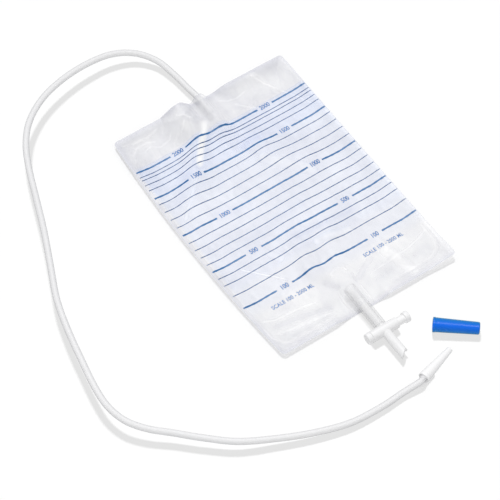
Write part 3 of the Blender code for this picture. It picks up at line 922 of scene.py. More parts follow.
FOLDS: tuple[Fold, ...] = (
    (
        (-0.0240, 0.1350, 0.0060, 0.0120),
        (-0.0280, 0.1040, 0.0072, 0.0100),
        (-0.0430, 0.0860, 0.0062, 0.0100),
        (-0.0580, 0.0620, 0.0052, 0.0130),
        (-0.0750, 0.0390, 0.0042, 0.0160),
        (-0.0860, 0.0080, 0.0010, 0.0160),
    ),
    (
        (-0.0040, 0.1160, 0.0058, 0.0100),
        (-0.0080, 0.0980, 0.0045, 0.0110),
        (-0.0180, 0.0780, 0.0015, 0.0120),
    ),
    (
        (0.0180, 0.0740, 0.0015, 0.0120),
        (0.0200, 0.0560, 0.0042, 0.0140),
        (0.0320, 0.0400, 0.0034, 0.0150),
        (0.0470, 0.0280, 0.0032, 0.0140),
        (0.0600, 0.0060, 0.0008, 0.0140),
    ),
    (
        (-0.0090, -0.1130, 0.0040, 0.0080),
        (-0.0230, -0.0820, 0.0048, 0.0090),
        (-0.0180, -0.0620, 0.0042, 0.0130),
        (-0.0100, -0.0440, 0.0030, 0.0150),
        (0.0050, -0.0200, 0.0018, 0.0180),
    ),
    (
        (-0.0050, -0.1130, 0.0040, 0.0080),
        (0.0030, -0.0820, 0.0042, 0.0090),
        (0.0130, -0.0560, 0.0038, 0.0130),
        (0.0240, -0.0400, 0.0008, 0.0130),
    ),
    (
        (0.0470, -0.0960, 0.0010, 0.0070),
        (0.0550, -0.1180, 0.0024, 0.0070),
        (0.0590, -0.1320, 0.0030, 0.0070),
    ),
    (
        (-0.0900, -0.1060, 0.0012, 0.0060),
        (-0.0550, -0.1130, 0.0020, 0.0060),
        (-0.0230, -0.1220, 0.0026, 0.0060),
    ),
)


@dataclass
class TubeSeat:
    """Tube that leaves the pouch through an end: where the film is drawn up over it."""

    x: float
    radius: float
    inner_y: float

    def tent(self, x: Array, y: Array, form: "FilmForm") -> Array:
        """Film height over the tube: e^-(|x|/spread)^3 across, eased to 0 past its end.

        Args:
            x: film coordinates across.
            y: film coordinates along.
            form: the pouch's form, with the tent's spread and room.

        Returns:
            The height at each point.
        """
        spread = form.tent_spread * (self.radius + SEAT_GAP)
        across = np.exp(-((np.abs(x - self.x) / spread) ** form.tent_power))
        past_end = (self.inner_y - y) * math.copysign(1.0, self.inner_y)
        along = smoothstep(1.0 - (past_end - SEAT_GAP) / form.tent_fade)
        return (2.0 * self.radius + SEAT_GAP + form.tent_room) * across * along


@dataclass
class FilmForm:
    """Heights of the films that make up the pouch, over the table it lies on."""

    half_width: float = 0.100
    half_length: float = 0.1475
    corner: float = 0.004
    left_bow: float = 0.0062
    side_weld: float = 0.0045
    end_weld: float = 0.0090
    weld_corner: float = 0.015
    slack_height: float = 0.0015
    slack_rise: float = 0.020
    curl_height: float = 0.0040
    curl_width: float = 0.022
    clear_of_tubes: tuple[float, float] = (0.014, 0.034)
    corner_curl: float = 0.0030
    corner_reach: float = 0.040
    wave_x: float = -0.0240
    wave_left_width: float = 0.0330
    wave_right_width: float = 0.0185
    wave_height: float = 0.0130
    wave_reach: float = 0.055
    tent_spread: float = 1.35
    tent_power: float = 3.0
    tent_room: float = 0.0002
    tent_fade: float = 0.020
    inlet: TubeSeat = field(default_factory=lambda: TubeSeat(0.0, 0.0050, 0.1150))
    outlet: TubeSeat = field(default_factory=lambda: TubeSeat(-0.0075, 0.0060, -0.1225))

    def weld_depth(self, x: Array, y: Array) -> Array:
        """Distance inside the welded border, a rounded rectangle, negative outside it.

        Args:
            x: film coordinates across.
            y: film coordinates along.

        Returns:
            The distance at each point.
        """
        out_x = np.abs(x) - (self.half_width - self.side_weld - self.weld_corner)
        out_y = np.abs(y) - (self.half_length - self.end_weld - self.weld_corner)
        outside = np.hypot(np.maximum(out_x, 0.0), np.maximum(out_y, 0.0))
        return self.weld_corner - outside - np.minimum(np.maximum(out_x, out_y), 0.0)

    def curl(self, x: Array, y: Array) -> Array:
        """Curl of the edges, eased in over its width, more in one corner, none at a tube.

        Args:
            x: film coordinates across.
            y: film coordinates along.

        Returns:
            The curl's height at each point.
        """
        from_side = self.half_width - np.abs(x)
        from_end = self.half_length - np.abs(y)
        curl = self.curl_height * smoothstep(1.0 - np.minimum(from_side, from_end) / self.curl_width)
        from_corner = np.hypot(x - self.half_width, y + self.half_length)
        curl = curl + self.corner_curl * smoothstep(1.0 - from_corner / self.corner_reach)
        tube_x = np.where(y > 0.0, self.inlet.x, self.outlet.x)
        near, far = self.clear_of_tubes
        flat = smoothstep((np.abs(x - tube_x) - near) / (far - near))
        return curl * np.where(from_end < self.curl_width, flat, 1.0)

    def lift(self, x: Array, y: Array) -> Array:
        """Height of both films: one cosine wave in the top edge, or the edges' curl.

        Args:
            x: film coordinates across.
            y: film coordinates along.

        Returns:
            The height at each point.
        """
        away = x - self.wave_x
        sideways = np.maximum(away / self.wave_right_width, -away / self.wave_left_width)
        across = np.clip(sideways, 0.0, 1.0)
        along = smoothstep(1.0 - (self.half_length - y) / self.wave_reach)
        wave = self.wave_height * along * 0.5 * (1.0 + np.cos(math.pi * across))
        return np.maximum(wave, self.curl(x, y))

    def fold_height(self, x: Array, y: Array, fold: Fold) -> Array:
        """Height of one fold: the tallest bell e^-(d/w)^2 over its straight stretches.

        Args:
            x: film coordinates across.
            y: film coordinates along.
            fold: the fold's points.

        Returns:
            The fold's height at each point.
        """
        height = np.zeros_like(x)
        for start, end in zip(fold, fold[1:]):
            share, away = from_line(x, y, start[:2], end[:2])
            top = start[2] + share * (end[2] - start[2])
            half_width = start[3] + share * (end[3] - start[3])
            height = np.maximum(height, top * np.exp(-((away / half_width) ** 2)))
        return height

    def pouch_height(self, x: Array, y: Array) -> Array:
        """Height between the films: tents over the tubes, folds and slack elsewhere.

        Args:
            x: film coordinates across.
            y: film coordinates along.

        Returns:
            The height at each point.
        """
        tents = self.inlet.tent(x, y, self) + self.outlet.tent(x, y, self)
        rise = smoothstep(self.weld_depth(x, y) / self.slack_rise)
        slack = rise * (self.slack_height + sum(self.fold_height(x, y, fold) for fold in FOLDS))
        return tents + slack * (1.0 - np.clip(tents / (2.0 * self.inlet.radius), 0.0, 1.0))

    def back(self, x: Array, y: Array) -> Array:
        """Underside of the back film."""
        return self.lift(x, y)

    def front(self, x: Array, y: Array) -> Array:
        """Underside of the front film."""
        return self.lift(x, y) + FILM + SEAT_GAP + self.pouch_height(x, y)

    def spread_out(self, x: Array, y: Array) -> tuple[Array, Array]:
        """Plan of a film point: corners pulled onto their radius, left edge bowed out.

        Args:
            x: film coordinates across.
            y: film coordinates along.

        Returns:
            The points' place in X and in Y.
        """
        centre_x, centre_y = self.half_width - self.corner, self.half_length - self.corner
        out_x, out_y = np.maximum(np.abs(x) - centre_x, 0.0), np.maximum(np.abs(y) - centre_y, 0.0)
        scale = self.corner / np.maximum(np.hypot(out_x, out_y), self.corner)
        plan_x = np.where(out_x > 0.0, np.sign(x) * (centre_x + out_x * scale), x)
        plan_y = np.where(out_y > 0.0, np.sign(y) * (centre_y + out_y * scale), y)
        bow = self.left_bow * (1.0 - (plan_y / self.half_length) ** 2)
        return plan_x - bow * np.clip(-plan_x / self.half_width, 0.0, 1.0), plan_y


@dataclass
class Crinkles:
    """Short fine wrinkles: each a bell across a straight line, tapered to both ends."""

    seed: int
    count: int
    zone: tuple[float, float, float, float]
    heading_deg: tuple[float, float]
    length: tuple[float, float]
    height: tuple[float, float]
    half_width: tuple[float, float]
    signs: tuple[float, ...] = (1.0, 1.0, -0.6)
    most_bend: float = 6.0
    end_power: int = 4

    def relief(self, x: Array, y: Array) -> Array:
        """Height = sum of h e^-(across/w)^2 e^-(2 along/l)^4 over the wrinkles.

        Args:
            x: film coordinates across.
            y: film coordinates along.

        Returns:
            The wrinkles' height at each point.
        """
        rng = np.random.default_rng(self.seed)
        low_x, low_y, high_x, high_y = self.zone
        centre_x = rng.uniform(low_x, high_x, self.count)
        centre_y = rng.uniform(low_y, high_y, self.count)
        heading = np.radians(rng.uniform(*self.heading_deg, self.count))
        length = rng.uniform(*self.length, self.count)
        width = rng.uniform(*self.half_width, self.count)
        height = rng.uniform(*self.height, self.count) * rng.choice(self.signs, self.count)
        bend = rng.uniform(-self.most_bend, self.most_bend, self.count)
        total = np.zeros_like(x)
        for k in range(self.count):
            along = (x - centre_x[k]) * np.cos(heading[k]) + (y - centre_y[k]) * np.sin(heading[k])
            across = (y - centre_y[k]) * np.cos(heading[k]) - (x - centre_x[k]) * np.sin(heading[k])
            across = across - bend[k] * along**2
            bell = np.exp(-((across / width[k]) ** 2) - (2.0 * along / length[k]) ** self.end_power)
            total += height[k] * bell
        return total


@dataclass(frozen=True)
class Stroke:
    """Painted highlight or painted shade along a broken line, in millimetres of the film."""

    points: tuple[tuple[float, float], ...]
    half_width: float
    strength: float
    end_ease: float = 6.0

    def value(self, x: Array, y: Array) -> Array:
        """Strength x e^-(d/w)^2, with d the distance to the line, eased out at its ends.

        Args:
            x: film coordinates across, in metres.
            y: film coordinates along, in metres.

        Returns:
            The painted light's value at each point.
        """
        x, y = MM * x, MM * y
        best = np.zeros_like(x)
        count = len(self.points) - 1
        for k, (start, end) in enumerate(zip(self.points, self.points[1:])):
            share, away = from_line(x, y, start, end)
            along = (k + share) / count
            ends = smoothstep(self.end_ease * along) * smoothstep(self.end_ease * (1.0 - along))
            best = np.maximum(best, ends * np.exp(-((away / self.half_width) ** 2)))
        return self.strength * best


# Pale strokes (strength above 0) and dark strokes (below 0): painted highlights and painted shade of
# the folds, and along the welds partly their own tone.
PAINTED_LIGHT_STROKES: tuple[Stroke, ...] = (
    Stroke(((-9, 124), (-18, 108), (-28, 97), (-38, 84), (-47, 70)), 3.9, 1.0),
    Stroke(((-46, 72), (-62, 56), (-78, 40), (-92, 24)), 3.0, 0.32),
    Stroke(((-54, 80), (-70, 62), (-88, 42)), 7.0, -0.30),
    Stroke(((6, 60), (20, 40), (36, 22), (52, 2)), 7.5, 0.42),
    Stroke(((0, 70), (12, 77), (28, 76)), 5.5, -0.55),
    Stroke(((-66, 22), (-44, 14), (-20, 14)), 7.0, -0.35),
    Stroke(((-64, -22), (-20, -18), (24, -13)), 6.0, -0.30),
    Stroke(((-26, -43), (0, -46), (30, -46), (58, -49)), 4.5, -0.60),
    Stroke(((-8, -59), (14, -62), (42, -67)), 5.5, 0.42),
    Stroke(((-46, -40), (-36, -62)), 6.0, 0.32),
    Stroke(((74, 112), (84, 96), (94, 72)), 1.3, 0.45),
    Stroke(((5.0, 137), (5.6, 130), (6.4, 122)), 0.7, -1.2),
    Stroke(((58, 148), (66, 130), (74, 112)), 1.3, 0.55),
    Stroke(((26, 124), (36, 113), (44, 104)), 1.1, 0.40),
    Stroke(((14, 138), (24, 130), (33, 128), (48, 131)), 1.1, 0.25),
    Stroke(((8, 146), (50, 146), (101, 145)), 2.0, -0.50),
    Stroke(((-98, 141), (-84, 137), (-66, 136), (-50, 140)), 1.3, 0.40),
    Stroke(((-92, 112), (-90, 124), (-82, 131), (-70, 131), (-58, 126)), 1.3, 0.35),
    Stroke(((-80, 122), (-70, 125), (-62, 119), (-50, 121), (-42, 130)), 1.2, 0.32),
    Stroke(((-52, 112), (-44, 118), (-34, 121), (-28, 129)), 1.3, 0.32),
    Stroke(((-34, 139), (-26, 133), (-22, 122)), 1.4, 0.45),
    Stroke(((-16, 146), (-12, 136), (-13, 126)), 1.6, -0.60),
    Stroke(((-80, -40), (-60, -64), (-44, -83)), 1.3, 0.50),
    Stroke(((46, -98), (51, -120), (60, -149)), 4.6, 0.62),
    Stroke(((12, -118), (40, -117), (62, -116), (80, -112), (97, -106)), 1.7, 0.30),
    Stroke(
        ((13, -135), (50, -136), (78, -136), (88, -131), (92.5, -122), (93, -100), (93, -76)), 1.7, 0.30
    ),
    Stroke(((13, -138), (50, -139), (79, -139), (91, -133), (95.5, -122), (96, -100)), 1.0, -0.45),
    Stroke(((18, -126), (45, -127)), 5.0, -0.45),
    Stroke(((62, -127), (88, -121)), 5.0, -0.40),
    Stroke(((4, -119), (18, -110), (36, -102)), 3.6, -0.70),
    Stroke(((-97, -96), (-97, -126), (-91, -136), (-80, -139), (-50, -139), (-22, -138)), 1.7, 0.28),
    Stroke(((-99, -100), (-99, -128), (-92, -139), (-80, -142), (-50, -142), (-24, -141)), 1.0, -0.40),
    Stroke(((-98, -104), (-82, -111), (-60, -113), (-36, -118)), 1.4, 0.50),
    Stroke(((-93, -116), (-70, -119), (-45, -125), (-24, -130)), 3.2, -0.70),
    Stroke(((-94, -123), (-75, -127), (-50, -131), (-26, -134)), 2.4, 0.50),
    Stroke(((-88, -134), (-60, -135.5), (-28, -136)), 1.4, -0.35),
    Stroke(((-13, -107), (-12.5, -100), (-5, -96), (2.5, -100), (3, -107)), 1.8, 0.24),
    Stroke(((-24, -101), (-18, -110), (-14, -120)), 2.4, -0.60),
    Stroke(((7, -106), (4, -113), (3, -121)), 1.8, -0.50),
    Stroke(((-18, -118), (-18.5, -132), (-17, -146)), 1.2, 0.35),
    Stroke(((5, -120), (5.5, -132), (5, -146)), 1.2, 0.35),
)


@dataclass
class Pouch:
    """Welded film pouch: back film, front film and the two leaves of its valve."""

    form: FilmForm
    cells: tuple[int, int] = (236, 350)
    back_cells: tuple[int, int] = (130, 190)
    leaf_cells: tuple[int, int] = (40, 84)
    leaf_width: float = 0.026
    leaf_length: float = 0.056
    leaf_top: float = 0.113
    leaf_opening: float = 0.026
    weld_line: float = 0.00010
    weld_line_width: float = 0.0009
    sag: float = 0.00030
    sag_waves: tuple[Point, ...] = ((61.0, 23.0, 0.0), (-19.0, 37.0, 1.3))
    weld_share: float = 0.35
    least_gap: float = 0.3 * SEAT_GAP
    leaf_gap: float = 5.0 * SEAT_GAP
    streak_rise: float = 0.00005
    edge_shade: float = 0.65
    right_share: float = 0.25
    end_share: float = 0.45
    edge_line: float = 0.0010
    edge_width: float = 0.0045
    crinkles: tuple[Crinkles, ...] = (
        Crinkles(
            seed=3,
            count=60,
            zone=(-0.095, 0.104, 0.095, 0.144),
            heading_deg=(0, 180),
            length=(0.014, 0.044),
            height=(0.0001, 0.0003),
            half_width=(0.0016, 0.0036),
        ),
        Crinkles(
            seed=5,
            count=44,
            zone=(-0.095, -0.144, 0.095, -0.095),
            heading_deg=(-30, 40),
            length=(0.016, 0.050),
            height=(0.0001, 0.0003),
            half_width=(0.0016, 0.0036),
        ),
        Crinkles(
            seed=8,
            count=46,
            zone=(-0.090, -0.090, 0.090, 0.100),
            heading_deg=(60, 150),
            length=(0.020, 0.070),
            height=(0.0001, 0.0004),
            half_width=(0.0022, 0.0050),
        ),
    )

    def streaks(self, x: Array, y: Array) -> Array:
        """Sum of the painted highlights and painted shade along the strokes."""
        return sum(stroke.value(x, y) for stroke in PAINTED_LIGHT_STROKES)

    def rim(self, x: Array, y: Array, width: float, end_share: float) -> Array:
        """Band along the cut edges: share x e^-(d/w)^2 with d the distance inside each edge.

        Args:
            x: film coordinates across.
            y: film coordinates along.
            width: w, how far in the band reaches.
            end_share: share along the pouch's two ends.

        Returns:
            The band's value at each point.
        """
        form = self.form
        left = np.exp(-(((form.half_width + x) / width) ** 2))
        right = self.right_share * np.exp(-(((form.half_width - x) / width) ** 2))
        ends = end_share * np.exp(-(((form.half_length - np.abs(y)) / width) ** 2))
        return np.maximum(np.maximum(left, right), ends)

    def relief(self, x: Array, y: Array) -> Array:
        """Fine form of the front film: weld line, slow sag, wrinkles and a slight rise along the
        painted strokes.

        Args:
            x: film coordinates across.
            y: film coordinates along.

        Returns:
            The fine form's height at each point.
        """
        form = self.form
        depth = form.weld_depth(x, y)
        tents = form.inlet.tent(x, y, form) + form.outlet.tent(x, y, form)
        free = 1.0 - smoothstep(tents / (2.0 * form.inlet.radius))
        line = self.weld_line * np.exp(-((depth / self.weld_line_width) ** 2))
        slow = self.sag * sum(np.sin(a * x + b * y + phase) for a, b, phase in self.sag_waves)
        inside = self.weld_share + (1.0 - self.weld_share) * smoothstep(depth / form.slack_rise)
        wrinkles = sum(group.relief(x, y) for group in self.crinkles)
        return free * (line + inside * (slow + wrinkles) + self.streak_rise * self.streaks(x, y))

    def surface(
        self,
        heights: Callable[[Array, Array], Array],
        cells: tuple[int, int],
    ) -> tuple[Array, Array, Array]:
        """Grid of film points over the whole pouch.

        Args:
            heights: height of the film at film coordinates.
            cells: cells across and along.

        Returns:
            Film coordinates x and y, and the points as rows by columns by 3.
        """
        form = self.form
        u = np.linspace(-form.half_width, form.half_width, cells[0] + 1)
        v = np.linspace(-form.half_length, form.half_length, cells[1] + 1)
        x, y = np.meshgrid(u, v)
        plan_x, plan_y = form.spread_out(x, y)
        return x, y, np.stack([plan_x, plan_y, heights(x, y) + FILM / 2], axis=-1)

    def front_height(self, x: Array, y: Array) -> Array:
        """Underside of the front film with its fine form, kept off the back film."""
        floor = self.form.lift(x, y) + FILM + self.least_gap
        return np.maximum(self.form.front(x, y) + self.relief(x, y), floor)

    def ink_height(self, x: Array, y: Array) -> Array:
        """Front film's surface, where the ink lies."""
        return self.front_height(x, y) + FILM / 2

    def mark(
        self,
        piece: bpy.types.Object,
        x: Array,
        y: Array,
        streaks: Union[Array, float] = 0.0,
        end_share: float = 1.0,
    ) -> None:
        """Store the painted highlights and painted shade, with a painted dark line just inside the cut
        edges, and the cut edges' band on a film's points.

        Args:
            piece: film that carries the values.
            x: film coordinates across.
            y: film coordinates along.
            streaks: value of the painted highlights and painted shade.
            end_share: strength of the band along the pouch's two ends.
        """
        # Painted shade: a thin dark line just inside each cut edge.
        painted_edge_shade = self.edge_shade * self.rim(x, y, self.edge_line, end_share)
        values = {"mark": streaks - painted_edge_shade, "edge": self.rim(x, y, self.edge_width, end_share)}
        for name, value in values.items():
            attribute = piece.data.attributes.new(name, "FLOAT", "POINT")
            attribute.data.foreach_set("value", np.clip(value, -1.0, 1.0).ravel().astype(np.float32))

    def build(self) -> None:
        """Make the four films."""
        form = self.form
        x, y, points = self.surface(form.back, self.back_cells)
        back = make_piece("pouch_back", film_face(points, False), BACK_FINISH.material(), Crease.FILM)
        self.mark(back, x, y)
        carry(back, Body.BAG, Slot.FILM, "back_film")
        x, y, points = self.surface(self.front_height, self.cells)
        printed = FRONT_FINISH.material()
        front = make_piece("pouch_front", film_face(points, True), printed, Crease.FILM, Shade.NONE)
        self.mark(front, x, y, self.streaks(x, y), self.end_share)
        carry(front, Body.BAG, Slot.FILM, "front_film")
        self.build_leaves(LEAF_FINISH.material())

    def build_leaves(self, leaf: bpy.types.Material) -> None:
        """Make the valve's leaves: the upper one opens from the lower towards the sleeve.

        Args:
            leaf: the leaves' material.
        """
        form = self.form
        half = self.leaf_width / 2
        u = np.linspace(form.inlet.x - half, form.inlet.x + half, self.leaf_cells[0] + 1)
        v = np.linspace(self.leaf_top - self.leaf_length, self.leaf_top, self.leaf_cells[1] + 1)
        x, y = np.meshgrid(u, v)
        plan_x, plan_y = form.spread_out(x, y)
        lower = form.lift(x, y) + FILM + SEAT_GAP
        closed = lower + FILM + SEAT_GAP
        hung = np.maximum(closed, form.front(x, y) - FILM - self.leaf_gap)
        upper = closed + (hung - closed) * smoothstep(1.0 - (self.leaf_top - y) / self.leaf_opening)
        for name, height in (("lower", lower), ("upper", upper)):
            points = np.stack([plan_x, plan_y, height + FILM / 2], axis=-1)
            face = film_face(points, name == "upper")
            piece = make_piece(f"valve_leaf_{name}", face, leaf, Crease.FILM, Shade.NONE)
            self.mark(piece, x, y)
            carry(piece, Body.BAG, Slot.LEAF, f"nonreturn_leaf_{name}")


class Weight(Enum):
    """Weight of a scale line."""

    HEAVY = 0.00194
    THIN = 0.00092


@dataclass
class ScalePrint:
    """Printed scale: a line for each 100 ml, heavy ones broken round their number."""

    pouch: Pouch
    line_y: tuple[tuple[int, float], ...] = (
        (2000, 0.1035), (1900, 0.0967), (1800, 0.0926), (1700, 0.0860), (1600, 0.0790),
        (1500, 0.0680), (1400, 0.0597), (1300, 0.0490), (1200, 0.0380), (1100, 0.0270),
        (1000, 0.0163), (900, 0.0057), (800, -0.0045), (700, -0.0147), (600, -0.0248),
        (500, -0.0347), (400, -0.0443), (300, -0.0538), (200, -0.0680), (100, -0.0845),
    )
    number_x: tuple[tuple[int, float, float], ...] = (
        (2000, -0.0510, 0.0505),
        (1500, -0.0520, 0.0500),
        (1000, -0.0525, 0.0505),
        (500, -0.0535, 0.0505),
        (100, -0.0530, 0.0500),
    )
    gap_half: float = 0.0085
    ends: tuple[float, float] = (-0.0980, 0.0990)
    digit_height: float = 0.0049
    digit_weight: float = 0.00020
    digit_spacing: float = 1.0
    note: str = "SCALE 100 - 2000 ML"
    note_y: float = -0.0985
    note_x: tuple[float, float] = (-0.0535, 0.0500)
    note_height: float = 0.0041
    note_weight: float = 0.00013
    note_spacing: float = 1.08
    capital_share: float = 0.70
    narrowing: float = 0.80
    merge_distance: float = 0.000001
    word_reach: tuple[float, float] = (0.030, 0.004)
    word_cell: float = 0.001
    ink_gap: float = 0.00005
    ink_depth: float = 0.00004
    step: float = 0.0008
    waver: float = 0.12
    waver_rate: tuple[float, float] = (900.0, 400.0)
    wobble: float = 0.00010
    wobble_rate: tuple[float, float] = (140.0, 90.0)

    def ribbon(self, start: float, end: float, y: float, width: float) -> Shape:
        """Strip of ink: a grid of three rows on the film, as a closed thin shell.

        Its width is w (1 + waver sin) and its middle is y + wobble sin, both along the line.

        Args:
            start: film coordinate across of its start.
            end: film coordinate across of its end.
            y: film coordinate along of its middle.
            width: its width.

        Returns:
            The strip.
        """
        columns = max(3, int((end - start) / self.step))
        u = np.linspace(start, end, columns)
        x, across = np.meshgrid(u, np.linspace(-0.5, 0.5, 3))
        waver = 1.0 + self.waver * np.sin(self.waver_rate[0] * x + self.waver_rate[1] * y)
        wobble = self.wobble * np.sin(self.wobble_rate[0] * x + self.wobble_rate[1] * y)
        return self.laid(x, y + width * waver * across + wobble)

    def laid(self, x: Array, y: Array) -> Shape:
        """Thin shell that follows the film at a grid of film coordinates.

        Args:
            x: film coordinates across.
            y: film coordinates along.

        Returns:
            The shell.
        """
        plan_x, plan_y = self.pouch.form.spread_out(x, y)
        height = self.pouch.ink_height(x, y) + self.ink_gap
        return film_shell(np.stack([plan_x, plan_y, height], axis=-1), self.ink_depth)

    def stretches(self, numbers: Sequence[float]) -> list[tuple[float, float]]:
        """Spans of a line across the film, with gaps at the numbers if it has them.

        Args:
            numbers: middles of the two numbers, or nothing.

        Returns:
            Start and end of each span.
        """
        if not numbers:
            return [self.ends]
        left, right = numbers
        return [
            (self.ends[0], left - self.gap_half),
            (left + self.gap_half, right - self.gap_half),
            (right + self.gap_half, self.ends[1]),
        ]

    def outlines(self, words: str, height: float, spacing: float, weight: float) -> bpy.types.Mesh:
        """Words as a flat mesh with its middle at the origin.

        Args:
            words: the words.
            height: height of the capitals.
            spacing: spacing of the letters, 1 for the font's own.
            weight: how far the outlines are grown.

        Returns:
            The mesh.
        """
        curve = bpy.data.curves.new("lettering", "FONT")
        curve.body, curve.size, curve.offset = words, height / self.capital_share, weight
        curve.align_x, curve.align_y, curve.space_character = "CENTER", "CENTER", spacing
        carrier = bpy.data.objects.new("lettering", curve)
        bpy.context.scene.collection.objects.link(carrier)
        bpy.context.view_layer.update()
        evaluated = carrier.evaluated_get(bpy.context.evaluated_depsgraph_get())
        mesh = bpy.data.meshes.new_from_object(evaluated)
        bpy.data.objects.remove(carrier)
        return mesh

    def small_cells(self, mesh: bpy.types.Mesh) -> Shape:
        """Flat mesh cut along a square net, with every face pointing up.

        Args:
            mesh: the flat mesh, which is used up.

        Returns:
            Its points and its small faces.
        """
        cut = bmesh.new()
        cut.from_mesh(mesh)
        bpy.data.meshes.remove(mesh)
        bmesh.ops.remove_doubles(cut, verts=cut.verts, dist=self.merge_distance)
        for normal, reach in zip((Vector(ACROSS), Vector(ALONG)), self.word_reach):
            for place in np.arange(-reach, reach, self.word_cell):
                geometry = cut.verts[:] + cut.edges[:] + cut.faces[:]
                bmesh.ops.bisect_plane(cut, geom=geometry, plane_co=normal * place, plane_no=normal)
        bmesh.ops.triangulate(cut, faces=cut.faces)
        bmesh.ops.recalc_face_normals(cut, faces=cut.faces)
        cut.verts.index_update()
        points = np.array([vert.co for vert in cut.verts])
        faces = []
        for face in cut.faces:
            ring = [vert.index for vert in face.verts]
            faces.append(ring if face.normal.z > 0.0 else ring[::-1])
        cut.free()
        return Shape(points, faces)

    def lettering(
        self,
        words: str,
        centre: tuple[float, float],
        height: float,
        spacing: float,
        weight: float,
    ) -> Shape:
        """Words laid on the film: each point takes the film's height at its own place.

        Args:
            words: the words.
            centre: film coordinates of their middle.
            height: height of the capitals.
            spacing: spacing of the letters, 1 for the font's own.
            weight: how far the outlines are grown.

        Returns:
            The words' faces.
        """
        letters = self.small_cells(self.outlines(words, height, spacing, weight))
        x = letters.points[:, 0] * self.narrowing + centre[0]
        y = letters.points[:, 1] + centre[1]
        plan_x, plan_y = self.pouch.form.spread_out(x, y)
        height_here = self.pouch.ink_height(x, y) + self.ink_gap + self.ink_depth
        return Shape(np.column_stack([plan_x, plan_y, height_here]), letters.faces)

    def merged(self, shapes: Sequence[Shape]) -> Shape:
        """Several shapes as one.

        Args:
            shapes: the shapes.

        Returns:
            One shape with all their points and faces.
        """
        counts = np.cumsum([0] + [len(shape.points) for shape in shapes[:-1]])
        faces = []
        for shape, base in zip(shapes, counts):
            faces += [[index + base for index in face] for face in shape.faces]
        return Shape(np.concatenate([shape.points for shape in shapes]), faces)

    def build(self) -> None:
        """Make the heavy lines, the thin lines, and the numbers with the note."""
        heavy, thin, words = [], [], []
        places = {volume: (left, right) for volume, left, right in self.number_x}
        digits = (self.digit_height, self.digit_spacing, self.digit_weight)
        for volume, y in self.line_y:
            numbers = places.get(volume, ())
            weight = Weight.HEAVY if numbers else Weight.THIN
            strips = [self.ribbon(a, b, y, weight.value) for a, b in self.stretches(numbers)]
            (heavy if numbers else thin).extend(strips)
            words += [self.lettering(str(volume), (x, y), *digits) for x in numbers]
        small = (self.note_height, self.note_spacing, self.note_weight)
        words += [self.lettering(self.note, (x, self.note_y), *small) for x in self.note_x]
        for name, shapes, ink in (
            ("scale_heavy_lines", heavy, LINE_INK),
            ("scale_thin_lines", thin, FINE_INK),
            ("scale_numbers", words, NUMBER_INK),
        ):
            piece = make_piece(name, self.merged(shapes), ink.material(), Crease.PLAIN, Shade.NONE)
            carry(piece, Body.BAG, None)


@dataclass
class CatheterConnector:
    """Tapered connector on the tube's far end, lying on its side."""

    length: float = 0.0420
    wide: float = 0.00575
    tip: float = 0.0030
    collar: float = 0.0030
    step: float = 0.0004
    bore: float = 0.0019
    recess: float = 0.0030
    wall: float = 0.0010
    socket: float = 0.0035
    socket_depth: float = 0.0140
    point: tuple[float, float] = (-0.0080, -0.2408)
    heading_deg: float = 17.3
    sides: int = 72

    def axis(self) -> tuple[Vector, Vector]:
        """Middle of the wide end and the direction towards the tip."""
        direction, level = lying_axis(self.wide, self.tip, self.length, self.heading_deg)
        return Vector((*self.point, self.wide * level)), direction

    def build(self) -> bpy.types.Object:
        """Make the connector.

        Returns:
            The piece.
        """
        taper = (self.wide - self.tip) / (self.length - self.collar)
        neck = self.wide - taper * self.collar
        profile = rounded(
            [
                (self.wide - self.wall, 0.0, CRISP),
                (self.wide, 0.0, SOFT),
                (self.wide, self.collar, EASED),
                (self.wide - 0.5 * taper * self.collar, self.collar + self.step, KEEN),
                (neck, 2.0 * self.collar, BLUNT),
                (self.tip, self.length, BLUNT),
                (self.bore, self.length, CRISP),
                (self.bore, self.socket_depth, 0.0),
                (self.socket, self.socket_depth, 0.0),
                (self.socket, self.recess, KEEN),
                (self.wide - self.wall, self.recess, KEEN),
            ],
            closed=True,
        )
        origin, direction = self.axis()
        shape = turned(profile, self.sides).placed(origin, direction)
        white = CONNECTOR_FINISH.material()
        piece = make_piece("tapered_connector", shape, white, Crease.MOULDED, Shade.SKY)
        return carry(piece, Body.BAG, Slot.CONNECTOR, "catheter_connector")


